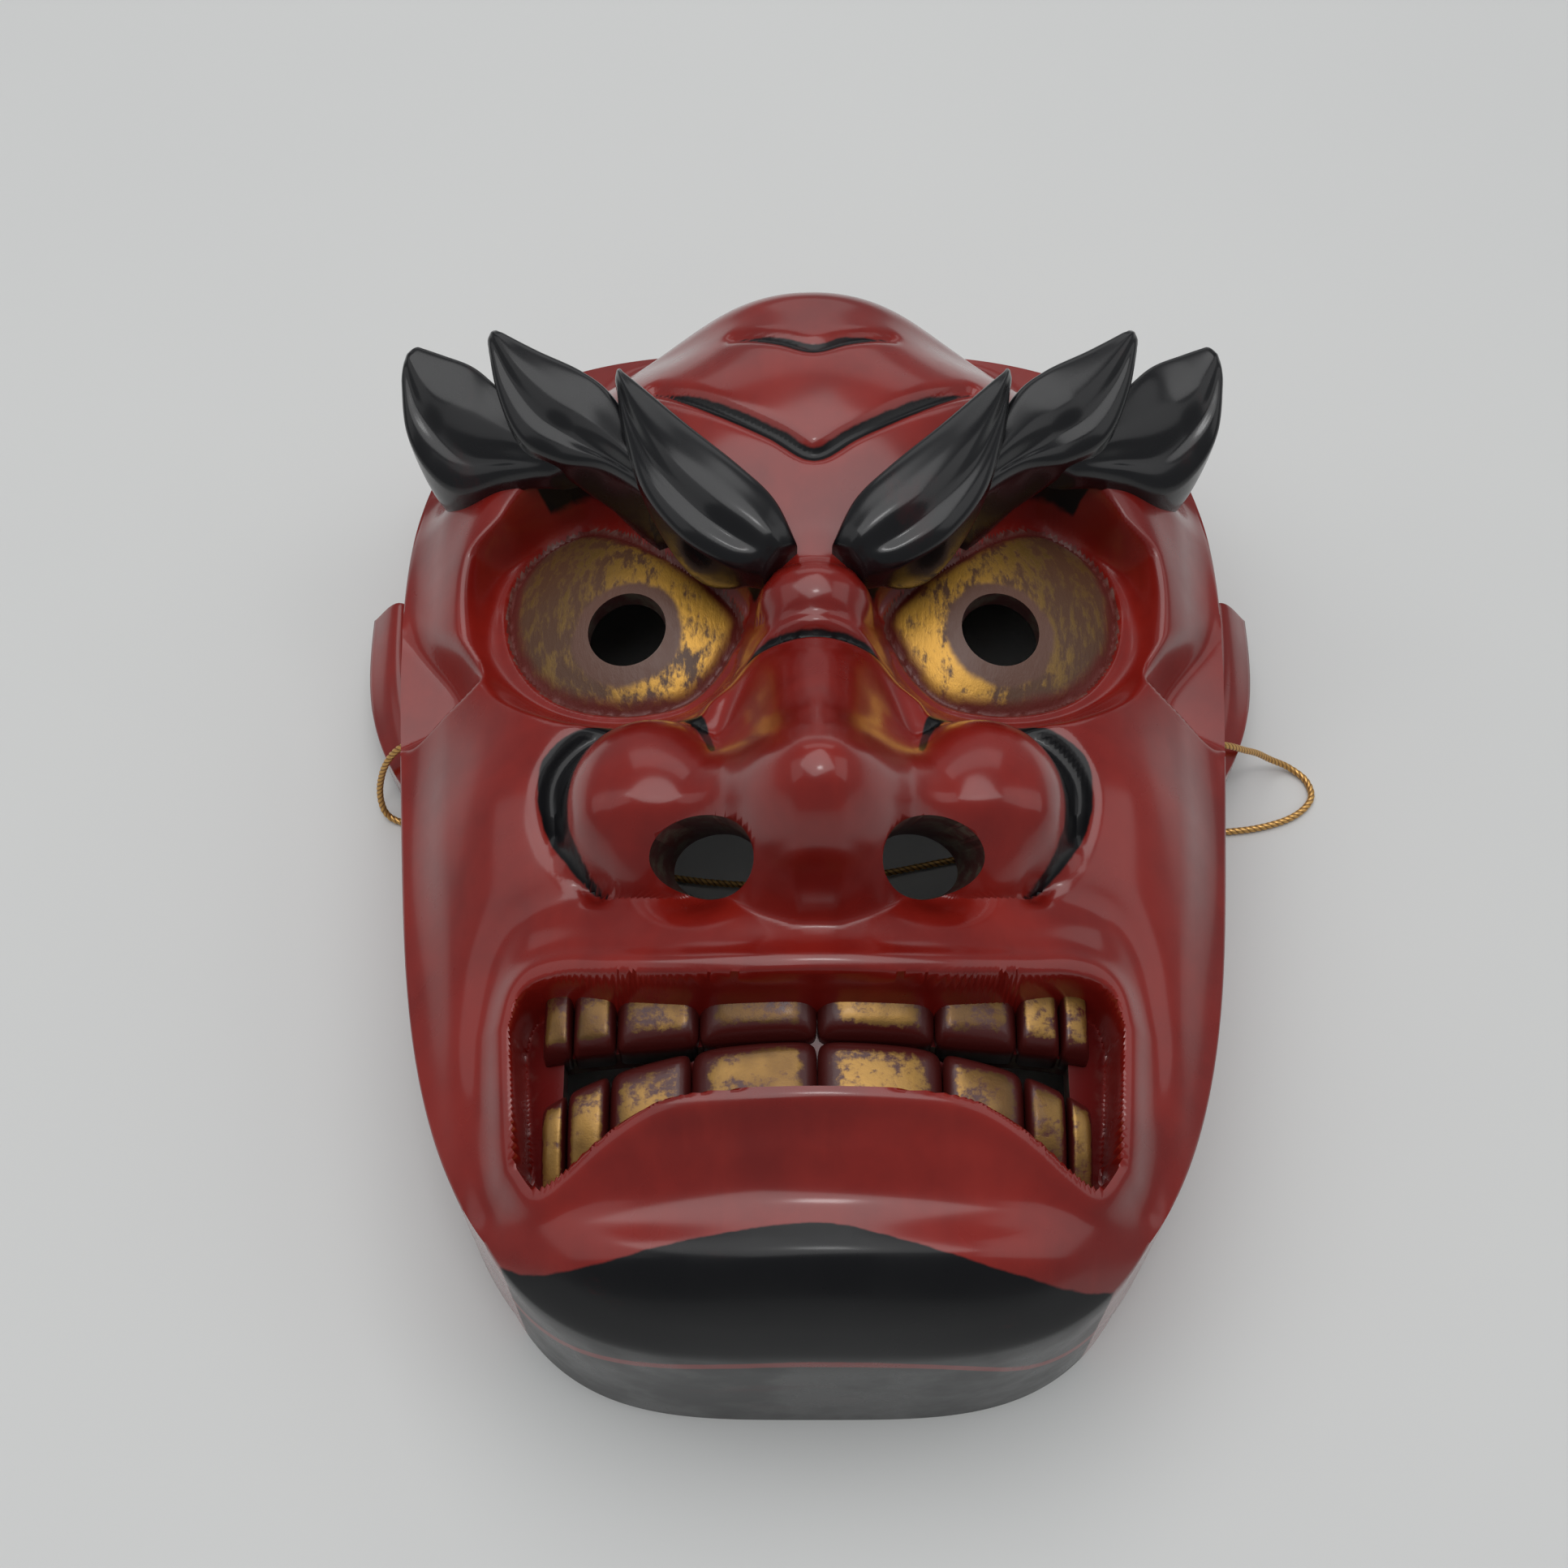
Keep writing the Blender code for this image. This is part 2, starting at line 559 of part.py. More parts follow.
def tooth(span, upper, mirror):
    """A broad tooth with softened edges, its root sunk in the floor of the mouth."""
    x = np.array((span[0], span[1], span[1], span[0]))
    inset = np.array((1, -1, -1, 1)) * TOOTH_EDGE
    if upper:
        y_tip, y_root = np.full(4, UPPER_TIP), np.full(4, UPPER_ROOT)
    else:
        y_tip, y_root = LOWER_TIP - 8.0 * (x / 50) ** 3, LOWER_ROOT - 10.0 * (x / 52) ** 2
    y = np.where((0, 0, 1, 1), y_root, y_tip)
    away = np.sign(y_root - y_tip) * np.array((1, 1, -1, -1)) * TOOTH_EDGE
    floor = mouth_floor(x, y)
    points = [np.column_stack([x, y, floor - TOOTH_HEIGHT]),
              np.column_stack([x, y, floor + TOOTH_HEIGHT - TOOTH_EDGE]),
              np.column_stack([x + inset, y + away, floor + TOOTH_HEIGHT])]
    return new_object("tooth", to_metres(np.vstack(points) * (mirror, 1, 1)), tube_faces(3, 4))


def tooth_gap(mirror):
    """A cutter for the slot between the two rows of teeth, right through the mask."""
    points = []
    start = UPPER_TIP + 0.5
    for side in (19, 30, 40, 48.5):
        height = MOUTH_SLOT_HEIGHT / STEP_Y * ease(17, 34, side) + 7.0 * max((side - 30) / 20, 0) ** 2
        end = UPPER_TIP - 0.6 - height
        points += [(mirror * side, y, z) for y, z in ((start, 30), (end, 30), (end, 90), (start, 90))]
    return new_object("gap", to_metres(points), tube_faces(4, 4))


def build_mask():
    """The whole carved mask as one solid."""
    mask = shell_outer()
    for mirror in (-1, 1):
        turned = np.array((mirror, 1, 1))
        cut(mask, ear(mirror), "UNION")
        cut(mask, egg("nose wing", WING_MIDDLE * turned, WING_RADII), "UNION")
    cut(mask, nose(), "UNION")
    cut(mask, hollow())
    for line, width, depth in FOLDS:
        half = smooth_path(line, 3)
        cut(mask, groove_tool("fold", np.vstack([half, half[-2::-1] * (-1, 1)]), width, depth))
    cut(mask, mouth_tool())
    for mirror in (-1, 1):
        cut(mask, pocket("eye", smooth_path(EYE_OPENING, 2, closed=True) * (mirror, 1), eyeball, CUTTER_TOP, 4))
        for line, width, depth in GROOVES:
            cut(mask, groove_tool("groove", smooth_path(line, 2) * (mirror, 1), width, depth))
    for mirror in (-1, 1):
        for number in (2, 1, 0):
            cut(mask, brow_lock(number, mirror), "UNION")
        for teeth, upper in ((UPPER_TEETH, True), (LOWER_TEETH, False)):
            for span in teeth:
                cut(mask, tooth(span, upper, mirror), "UNION")
        cut(mask, tooth_gap(mirror))
        cut(mask, rim_lift(mirror))
        turned = np.array((mirror, 1, 1))
        bore = (CORD_HOLE_DIAMETER / 2, CORD_HOLE_DIAMETER / 2)
        cut(mask, tunnel("cord hole", CORD_HOLE_OUT * turned, CORD_HOLE_IN * turned, bore, 10))
        x, y = EYE_HOLE_PLACE
        sight = (EYE_HOLE_DIAMETER / 2, EYE_HOLE_DIAMETER / 2)
        outer = (x, y - EYE_HOLE_LEAN, CUTTER_TOP) * turned
        inner = (x, y + EYE_HOLE_LEAN, 20) * turned
        cut(mask, tunnel("eye hole", outer, inner, sight, 18))
        outer, inner = (end * turned for end in NOSTRIL_ENDS)
        cut(mask, tunnel("nostril", outer, inner, (NOSTRIL_WIDTH / 2, NOSTRIL_HEIGHT / 2), 12))
    return mask


def biggest_piece(mesh):
    """Drop the crumbs that the cuts leave beside the mask."""
    work = bmesh.new()
    work.from_mesh(mesh)
    waiting, pieces = set(work.verts), []
    while waiting:
        piece, edge = set(), [waiting.pop()]
        while edge:
            point = edge.pop()
            piece.add(point)
            near = {e.other_vert(point) for e in point.link_edges} & waiting
            waiting -= near
            edge.extend(near)
        pieces.append(piece)
    main = max(pieces, key=len)
    bmesh.ops.delete(work, geom=[p for p in work.verts if p not in main], context="VERTS")
    work.to_mesh(mesh)
    work.free()


def lighten(thing, triangles):
    """Bring a mesh down to a number of triangles, flat places first."""
    step = thing.modifiers.new("lighten", "DECIMATE")
    step.ratio = min(1.0, triangles / len(thing.data.polygons))
    graph = bpy.context.evaluated_depsgraph_get()
    thing.data = bpy.data.meshes.new_from_object(thing.evaluated_get(graph))
    thing.modifiers.clear()
    tidy_mesh(thing.data)


def rim_lift(mirror):
    """A cutter that lifts the rim off the table beside the ear, in one long low arch."""
    middle = CORD_HOLE_IN[1] * STEP_Y - 0.008
    angle = np.linspace(0, math.pi, 9)
    arch = [(middle + RIM_LIFT_LENGTH / 2 * math.cos(a), RIM_LIFT * math.sin(a) ** 0.8) for a in angle]
    arch = [(arch[0][0], -RIM_LIFT)] + arch + [(arch[-1][0], -RIM_LIFT)]
    ends = (mirror * RIM_CUT_INNER * STEP_X, mirror * RIM_CUT_OUTER * STEP_X)
    points = [(x, y, z) for x in ends for y, z in arch]
    return new_object("rim lift", points, tube_faces(2, len(arch)))


def knot(name, mirror):
    """The knot that stops the cord inside the wall."""
    end, before = Vector(CORD_ROUTE[0]), Vector(CORD_ROUTE[1])
    middle = end + (end - before).normalized() * (KNOT_DIAMETER / 2 + TOUCH_GAP)
    work = bmesh.new()
    bmesh.ops.create_uvsphere(work, u_segments=10, v_segments=7, radius=KNOT_DIAMETER / 2)
    for corner in work.verts:
        corner.co += Vector((middle.x * -mirror, middle.y, middle.z))
    mesh = bpy.data.meshes.new(name)
    work.to_mesh(mesh)
    work.free()
    thing = bpy.data.objects.new(name, mesh)
    bpy.context.scene.collection.objects.link(thing)
    return thing


def cord(name):
    """The cord as one round tube along its route."""
    fine = smooth_path(CORD_ROUTE, 24)
    run = np.concatenate([[0], np.cumsum(np.linalg.norm(np.diff(fine, axis=0), axis=1))])
    even = np.linspace(0, run[-1], CORD_POINTS)
    points = np.stack([np.interp(even, run, fine[:, k]) for k in range(3)], -1)
    curve = bpy.data.curves.new(name, "CURVE")
    curve.dimensions = "3D"
    curve.bevel_depth = CORD_DIAMETER / 2
    curve.bevel_resolution = 2
    curve.use_fill_caps = True
    line = curve.splines.new("POLY")
    line.points.add(len(points) - 1)
    for place, point in zip(line.points, points):
        place.co = (*point, 1.0)
    thing = bpy.data.objects.new(name, curve)
    bpy.context.scene.collection.objects.link(thing)
    return thing


def finish_with(thing, name, colour, roughness, metallic, coat):
    """Give a piece its own plain finish."""
    material = bpy.data.materials.new(name)
    material.use_nodes = True
    shader = material.node_tree.nodes["Principled BSDF"]
    shader.inputs["Base Color"].default_value = colour
    shader.inputs["Roughness"].default_value = roughness
    shader.inputs["Metallic"].default_value = metallic
    shader.inputs["Coat Weight"].default_value = coat
    thing.data.materials.clear()
    thing.data.materials.append(material)


clear_scene()
mask = build_mask()
biggest_piece(mask.data)
lighten(mask, MASK_TRIANGLES)
mask.data.shade_smooth()
mask.data.set_sharp_from_angle(angle=math.radians(38))
finish_with(mask, "red lacquer", MASK_COLOUR, 0.28, 0.0, 0.8)
finish_with(cord("hanging_cord"), "gold cord", CORD_COLOUR, 0.4, 0.7, 0.0)
for side, mirror in (("left", 1), ("right", -1)):
    stop = knot(f"cord_knot_{side}", mirror)
    finish_with(stop, f"gold knot {side}", CORD_COLOUR, 0.45, 0.7, 0.0)
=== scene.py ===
# %% [markdown]
# # A lacquered oni mask with a gold hanging cord
# The mask is carved from light wood, coated with many thin layers of red and black lacquer, and
# rubbed with gold on the eyes and the teeth. It lies on its rim, face up. The CAD frame gives its
# place and size. This lesson models each surface as an array of points worked out with numpy.

# %% Load the frame and keep its box
import math

import bmesh
import bpy
import numpy as np
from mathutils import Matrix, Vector


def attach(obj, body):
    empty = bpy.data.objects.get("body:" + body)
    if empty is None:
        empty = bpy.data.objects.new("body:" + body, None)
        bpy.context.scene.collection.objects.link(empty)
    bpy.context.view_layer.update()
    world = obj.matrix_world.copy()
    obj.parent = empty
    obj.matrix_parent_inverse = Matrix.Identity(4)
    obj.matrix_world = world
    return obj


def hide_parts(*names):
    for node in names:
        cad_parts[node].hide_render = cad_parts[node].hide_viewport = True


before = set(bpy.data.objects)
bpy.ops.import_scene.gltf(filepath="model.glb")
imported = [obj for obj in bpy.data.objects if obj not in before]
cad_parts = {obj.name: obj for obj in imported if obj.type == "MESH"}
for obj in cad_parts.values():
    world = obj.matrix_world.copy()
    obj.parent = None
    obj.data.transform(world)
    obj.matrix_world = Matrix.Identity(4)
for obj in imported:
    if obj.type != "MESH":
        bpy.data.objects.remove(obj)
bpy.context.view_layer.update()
print("CAD nodes:", sorted(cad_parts))

# %% [markdown]
# ## Camera
# The picture looks down on the mask at 60 degrees from the chin's side, from about 45 cm away. A
# close viewpoint makes the chin look large, so the place of the lens matters as much as its angle.

# %% Camera
PICTURE_SIDE = 1932
FOCAL_PIXELS = 2500
CAMERA_PLACE = (-0.0062, -0.2153, 0.4187)
CAMERA_TILT = 30
lens = bpy.data.cameras.new("camera")
lens.sensor_width = 36.0
lens.lens = lens.sensor_width * FOCAL_PIXELS / PICTURE_SIDE
lens.clip_start = 0.01
camera = bpy.data.objects.new("camera", lens)
camera.location = CAMERA_PLACE
camera.rotation_euler = (math.radians(CAMERA_TILT), 0, 0)
bpy.context.scene.collection.objects.link(camera)
bpy.context.scene.camera = camera
print(f"lens {lens.lens:.1f} mm")

# %% [markdown]
# ## Helpers for curves
# Every outline is a few points that a smooth curve runs through, in millimetres on the plan of the
# mask. Distances to such outlines drive both the carving and the paint.


# %% Smooth steps and smooth curves
def ease(low, high, value):
    """Smooth step: 0 below low, 1 above high, and 3tt - 2ttt between them."""
    t = np.clip((value - low) / (high - low), 0, 1)
    return t * t * (3 - 2 * t)


def bump(value, width):
    """A soft bell: e to the minus (value / width) squared."""
    return np.exp(-(value / width) ** 2)


def through(value, places, heights):
    """Cubic Hermite curve through heights at the places, its slopes the central differences."""
    places, heights = np.array(places, float), np.array(heights, float)
    slope = np.gradient(heights, places)
    i = np.clip(np.searchsorted(places, value) - 1, 0, len(places) - 2)
    span = places[i + 1] - places[i]
    t = np.clip((value - places[i]) / span, 0, 1)
    return (heights[i] * (2 * t**3 - 3 * t**2 + 1) + slope[i] * span * (t**3 - 2 * t**2 + t)
            + heights[i + 1] * (3 * t**2 - 2 * t**3) + slope[i + 1] * span * (t**3 - t**2))


def smooth_path(points, parts=6, closed=False):
    """Catmull-Rom curve through the points, with parts steps from each point to the next."""
    p = np.array(points, float)
    if closed:
        a, b, c, d = (np.roll(p, k, axis=0) for k in (1, 0, -1, -2))
    else:
        b, c = p[:-1], p[1:]
        a = np.vstack([2 * p[:1] - p[1:2], p[:-2]])
        d = np.vstack([p[2:], 2 * p[-1:] - p[-2:-1]])
    t = (np.arange(parts) / parts)[None, :, None]
    a, b, c, d = (q[:, None] for q in (a, b, c, d))
    curve = 0.5 * (2 * b + (c - a) * t + (2 * a - 5 * b + 4 * c - d) * t**2
                   + (3 * b - a - 3 * c + d) * t**3)
    curve = curve.reshape(-1, p.shape[1])
    return curve if closed else np.vstack([curve, p[-1:]])


# %% Distances on the plan
def path_distance(x, y, path):
    """Distance from each place to the nearest point of a path in the plan."""
    best = np.full(x.shape, 1e9)
    for a, b in zip(path[:-1], path[1:]):
        ab = b - a
        t = np.clip(((x - a[0]) * ab[0] + (y - a[1]) * ab[1]) / max(ab @ ab, 1e-9), 0, 1)
        best = np.minimum(best, np.hypot(x - a[0] - t * ab[0], y - a[1] - t * ab[1]))
    return best


def outside(x, y, loop):
    """Signed distance to a closed loop in the plan, negative inside it."""
    gap = path_distance(x, y, np.vstack([loop, loop[:1]]))
    inside = np.zeros(x.shape, bool)
    for a, b in zip(loop, np.roll(loop, -1, axis=0)):
        run = b[1] - a[1] if b[1] != a[1] else 1e-9
        inside ^= ((a[1] > y) != (b[1] > y)) & (x < a[0] + (b[0] - a[0]) * (y - a[1]) / run)
    return np.where(inside, -gap, gap)


def swell(a, b, soft):
    """The larger of two heights, with a fillet about soft high where they meet."""
    return np.maximum(a, b) + np.maximum(soft - np.abs(a - b), 0) ** 2 / (4 * soft)


# %% Mesh makers
def new_piece(name, points, faces):
    """A mesh object at the origin from an array of points in metres and a list of face arrays."""
    mesh = bpy.data.meshes.new(name)
    mesh.from_pydata(np.asarray(points, float).tolist(), [], [f for part in faces for f in part.tolist()])
    mesh.validate()
    mesh.shade_smooth()
    piece = bpy.data.objects.new(name, mesh)
    bpy.context.scene.collection.objects.link(piece)
    return piece


def grid_faces(rows, columns, first=0, around=False):
    """Quads of a grid whose points are numbered row by row; around joins the last column to the first."""
    i, j = np.meshgrid(np.arange(rows - 1), np.arange(columns if around else columns - 1), indexing="ij")
    k = (j + 1) % columns
    quads = np.stack([i * columns + j, i * columns + k, (i + 1) * columns + k, (i + 1) * columns + j], -1)
    return first + quads.reshape(-1, 4)


def capped(rows, columns, first=0):
    """Quads of a tube of rows, and the two loops that close its ends."""
    start = first + np.arange(columns)[::-1]
    end = first + (rows - 1) * columns + np.arange(columns)
    return [grid_faces(rows, columns, first, True), start[None], end[None]]


def turn_outwards(piece):
    """Point the faces of a closed mesh outwards: recalculate them, and flip if its volume is negative."""
    work = bmesh.new()
    work.from_mesh(piece.data)
    bmesh.ops.remove_doubles(work, verts=work.verts, dist=1e-7)
    bmesh.ops.recalc_face_normals(work, faces=work.faces)
    if work.calc_volume(signed=True) < 0:
        bmesh.ops.reverse_faces(work, faces=work.faces)
    work.to_mesh(piece.data)
    work.free()


def join_arrays(parts):
    """One array of points and one list of faces from several (points, faces) pairs."""
    points, faces, count = [], [], 0
    for some, quads in parts:
        some = np.asarray(some, float).reshape(-1, 3)
        points.append(some)
        faces += [q + count for q in quads]
        count += len(some)
    return np.vstack(points), faces


# %% [markdown]
# ## The hanging cord
# The cord is a limp gold-wrapped thread, 1.6 mm thick and 31 cm long. It is knotted inside the
# right ear, goes out through the hole, under the right rim, across the table below the mask, out
# below the left rim in a loose loop, and back into the left ear. Its twist is made as a profile
# carried along the route: three plies, seen as three bulges that turn as the tube runs on.

# %% The route of the cord
CORD_DIAMETER = 0.0016
CORD_ROUTE = (
    (-0.0802, 0.0225, 0.0228), (-0.0850, 0.0225, 0.0240), (-0.0895, 0.0227, 0.0251),
    (-0.0938, 0.0225, 0.0228), (-0.0975, 0.0215, 0.0178), (-0.0998, 0.0200, 0.0113),
    (-0.1004, 0.0184, 0.0055), (-0.0992, 0.0168, 0.0019), (-0.0955, 0.0153, 0.0009),
    (-0.0890, 0.0138, 0.0009), (-0.0780, 0.0118, 0.0009), (-0.0600, 0.0080, 0.0009),
    (-0.0380, 0.0020, 0.0009), (-0.0140, -0.0010, 0.0009), (0.0110, 0.0010, 0.0009),
    (0.0360, 0.0060, 0.0009), (0.0600, 0.0100, 0.0009), (0.0820, 0.0120, 0.0009),
    (0.0960, 0.0128, 0.0009), (0.1060, 0.0142, 0.0009), (0.1140, 0.0172, 0.0009),
    (0.1185, 0.0218, 0.0009), (0.1180, 0.0268, 0.0009), (0.1140, 0.0300, 0.0018),
    (0.1090, 0.0300, 0.0054), (0.1045, 0.0284, 0.0110), (0.1005, 0.0262, 0.0160),
    (0.0955, 0.0240, 0.0216), (0.0900, 0.0227, 0.0250), (0.0850, 0.0225, 0.0240),
    (0.0802, 0.0225, 0.0228),
)


# %% A twisted thread along a path
def frames_along(path):
    """Unit tangents of a path, and two unit vectors across it that turn as little as they can."""
    tangent = np.gradient(path, axis=0)
    tangent /= np.linalg.norm(tangent, axis=1)[:, None]
    side = np.empty_like(path)
    start = np.cross(tangent[0], (0.3, 0.2, 1.0))
    side[0] = start / np.linalg.norm(start)
    for i in range(1, len(path)):
        across = side[i - 1] - tangent[i] * (side[i - 1] @ tangent[i])
        side[i] = across / np.linalg.norm(across)
    return tangent, side, np.cross(tangent, side)


def even_steps(route, step):
    """The smooth curve through a route, at places that lie one step apart along it."""
    fine = smooth_path(route, 40)
    run = np.concatenate([[0], np.cumsum(np.linalg.norm(np.diff(fine, axis=0), axis=1))])
    at = np.linspace(0, run[-1], max(int(run[-1] / step), 8))
    return np.stack([np.interp(at, run, fine[:, k]) for k in range(3)], -1), at


def twisted_thread(route, radius, step=0.0002, pitch=0.0042, plies=3, around=15):
    """Points of a thread: at angle a and length s its radius is R (0.8 + 0.2 |cos|) of plies/2 times
    the angle a minus a full turn for each pitch of s, so each ply shows as one spiral bulge."""
    path, run = even_steps(route, step)
    tangent, side, up = frames_along(path)
    angle = np.arange(around) * math.tau / around
    spiral = plies / 2 * (angle[None] - math.tau * run[:, None] / pitch)
    reach = radius * (0.80 + 0.20 * np.abs(np.cos(spiral)))
    ring = (np.cos(angle)[None, :, None] * side[:, None] + np.sin(angle)[None, :, None] * up[:, None])
    return (path[:, None] + reach[..., None] * ring), capped(len(path), around), reach / radius


def set_attribute(mesh, name, values):
    """Store one number for each point of a mesh, for its material to read."""
    store = mesh.attributes.new(name, "FLOAT", "POINT")
    store.data.foreach_set("value", np.ascontiguousarray(values, dtype=np.float32).ravel())


# %% Cord and knots
points, faces, ply = twisted_thread(CORD_ROUTE, CORD_DIAMETER / 2)
hanging_cord = new_piece("hanging_cord_twisted", points.reshape(-1, 3), faces)
set_attribute(hanging_cord.data, "ply", ply)
turn_outwards(hanging_cord)

SIDES = (("left", 1), ("right", -1))
knots = []
for side_name, mirror in SIDES:
    end = np.array(CORD_ROUTE[-1 if mirror > 0 else 0])
    before = np.array(CORD_ROUTE[-2 if mirror > 0 else 1])
    inward = (end - before) / np.linalg.norm(end - before)
    turn = np.linspace(0, math.tau, 49)[:-1]
    # A trefoil, the plainest overhand knot, drawn tight round the line of the cord
    loop = np.stack([np.sin(turn) + 2 * np.sin(2 * turn), np.cos(turn) - 2 * np.cos(2 * turn),
                     -1.1 * np.sin(3 * turn)], -1) * 0.00074
    across = np.cross(inward, (0, 1, 0))
    basis = np.stack([across, np.cross(inward, across), inward])
    knot_route = end + inward * 0.0034 + loop @ basis
    knot_route = np.vstack([knot_route, knot_route[:1]])
    points, faces, ply = twisted_thread(knot_route, CORD_DIAMETER / 2 * 1.05, 0.00025)
    knot = new_piece(f"cord_knot_{side_name}_tied", points.reshape(-1, 3), faces)
    set_attribute(knot.data, "ply", ply)
    turn_outwards(knot)
    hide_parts(f"cord_knot_{side_name}")
    knots.append(knot)

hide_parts("hanging_cord")
print("cord triangles:", 2 * len(hanging_cord.data.polygons))

# %% [markdown]
# ## The pattern of the face
# The whole face is one height over its plan, in millimetres: a bowed shell, then cheeks, sockets,
# nose and mouth added or carved as simple formulas. The same named values drove the CAD solid, so
# this finer skin lies on it.

# %% Sizes of the face
HALF_LENGTH = 121.75
WALL = 7.0
CROWN_Y = (-122, -115, -109, -97, -90, -82, -70, -59, -45, -20, 0, 15, 27, 40, 52, 70, 83, 95, 107, 122)
CROWN_Z = (62, 66, 68, 68, 73, 78, 80, 82, 81, 79, 80, 82, 84, 88, 91, 92, 90.5, 88, 85.5, 77)
FOREHEAD = (62.0, 112.0)
NOSE_Y = (-47.5, -46.5, -44, -40, -34, -26, -15, -5, 4, 10, 16, 22, 28, 38)
NOSE_Z = (78, 92, 104, 112, 115.5, 111, 102, 96, 91.5, 88, 89.5, 87, 83, 76)
NOSE_X = (8, 11, 15, 19, 22, 23, 22, 20, 18, 17, 16, 15, 13, 10)
NOSE_FOOT = 64.0
EYE_OPENING = ((15, 29), (31, 44), (48, 58.5), (56, 58.5), (62.5, 53), (66.5, 42), (65.5, 28), (61, 18),
               (54, 11), (45, 7), (35, 6), (25, 8.5), (17.5, 17))
MOUTH_UPPER = ((0, -60), (13, -60), (26, -59), (39, -57), (49, -55), (56, -56.5), (58.5, -63))
MOUTH_LOWER = ((0, -81), (14, -81.2), (28, -82), (39, -86.5), (47, -91.5), (52, -93), (56, -89))
LID_STEP = 2.0
MOUTH_DEPTH = 18.0
# Height, then place and width out from the middle, then place and width along the mask
CHEEK = (9.0, 63, 21, -16, 27)
BROW_BONE = (3.0, 76, 9, 38, 26)
CROWN_HOLLOW = (-3.0, 30, 12, 96, 12)
WAIST_Y, WAIST_SIDE, WAIST_FLOOR = 17.0, 72.0, 33.0
EYE_LOOP = smooth_path(EYE_OPENING, 8, closed=True)


def mouth_outline(parts=8):
    """The closed outline of the mouth: both halves of its upper edge, then of its lower edge."""
    halves = [smooth_path(line, parts) for line in (MOUTH_UPPER, MOUTH_LOWER)]
    upper, lower = (np.vstack([half[:0:-1] * (-1, 1), half]) for half in halves)
    return np.vstack([upper, lower[::-1]])


MOUTH_LOOP = mouth_outline()


# %% The shell of the face
def half_width(y):
    """Half the breadth between the rim's side lines: a straight taper towards the chin."""
    return 87.7 + 12.8 * y / HALF_LENGTH


def rim_norm(x, y):
    """1 on the outline and 0 in the middle: a superellipse, a little squarer at the cheeks."""
    power = 3.7 - 0.5 * ease(0, 40, y) - 0.1 * ease(-20, -80, y)
    return (np.abs(x / half_width(y)) ** power + np.abs(y / HALF_LENGTH) ** power) ** (1 / power)


def shoulder(y):
    """Height where the side wall turns into the face."""
    return 40 - 16 * ease(*FOREHEAD, y)


def dome(x, y):
    """The plain shell: a parabola across, from the shoulder up to the crown line."""
    top = ease(*FOREHEAD, y)
    reach = (half_width(y) + 3) * (1 - top) + 58 * top
    bow = 1 - (x / reach) ** 2
    bow = np.where(bow < 0.12, 0.12 * np.exp(np.minimum(bow / 0.12 - 1, 0)), bow)
    return shoulder(y) + (through(y, CROWN_Y, CROWN_Z) - shoulder(y)) * bow


def eyeball(x, y):
    """The bulging eye: a shallow paraboloid, lower towards the temple."""
    side = np.abs(x)
    return 69.5 - 0.22 * (side - 40) - 8 * ((side - 40) / 26) ** 2 - 9 * ((y - 31) / 26) ** 2


def mouth_floor(x, y):
    """The bottom of the mouth, which the teeth stand on."""
    return dome(x, y) - MOUTH_DEPTH + 5 * ease(25, 56, np.abs(x))


def face(x, y):
    """The shell with cheeks, brow bones, sockets and the waist where the ears sit."""
    side = np.abs(x)
    z = dome(x, y)
    for height, out, breadth, along, length in (CHEEK, BROW_BONE, CROWN_HOLLOW):
        z += height * bump(side - out, breadth) * bump(y - along, length)
    gap = outside(side, y, EYE_LOOP)
    lid = eyeball(x, y) + LID_STEP
    above = ease(-3, 5, y - np.minimum(29 + 0.9 * (side - 15), 50))
    z = np.where(gap > 0, z - (z - lid) * (1 - ease(0, 10 - 4.5 * above, gap)), lid)
    z += 1.0 * bump(gap - 9.5, 4.5) * ease(48, 62, side)
    near = np.exp(-((y - WAIST_Y) / np.where(y > WAIST_Y, 18, 7.5)) ** 2)
    share = ease(-3, 7, side - WAIST_SIDE - 20 * (1 - near)) * np.minimum(3 * near, 1)
    return z - np.maximum(z - WAIST_FLOOR, 0) * share


def skin(x, y):
    """The face with its edge rounded over into the side wall along a quarter of an ellipse."""
    norm = rim_norm(x, y)
    radius = 12 + 4 * ease(-60, -110, y) + 14 * ease(*FOREHEAD, y)
    inset = (1 - norm) * np.maximum(np.hypot(x, y) / np.maximum(norm, 1e-6), 60)
    k = np.clip(1 - inset / radius, 0, 1)
    top = face(x, y)
    low = np.minimum(shoulder(y), top)
    return low + (top - low) * np.sqrt(np.clip(1 - k * k, 0, 1))


# %% [markdown]
# ## Nose, wings, folds and lips
# On the real mask these are carved out of the same block, so they melt into the face. The nose is a
# row of arches, and each wing is an egg with a ridge that runs to the tip. The swell helper joins them
# with a fillet instead of a hard edge. Folds and grooves are soft bells cut along a line.

# %% Lines of the carving
BROW_FOLD = smooth_path([(-34, 76), (-20, 66), (-8, 58), (0, 53), (8, 58), (20, 66), (34, 76)])
CROWN_FOLD = smooth_path([(-17, 89), (-7, 85), (0, 82), (7, 85), (17, 89)])
NOSE_FOLD = smooth_path([(-17, 9), (-10, 10.5), (0, 10.5), (10, 10.5), (17, 9)])
WING_GROOVE = smooth_path([(24, 0), (36, -2), (45, -5), (50, -10), (52, -16), (51, -23), (48, -30),
                           (42, -38)])
LIP_GROOVE = smooth_path([(40, -40), (50, -39), (58, -41), (62.5, -48), (64, -60), (64.5, -72), (63, -84),
                          (61, -94)])
BRIDGE_CREASE = smooth_path([(14, 12), (10, 14), (0, 15), (-10, 14), (-14, 12)])
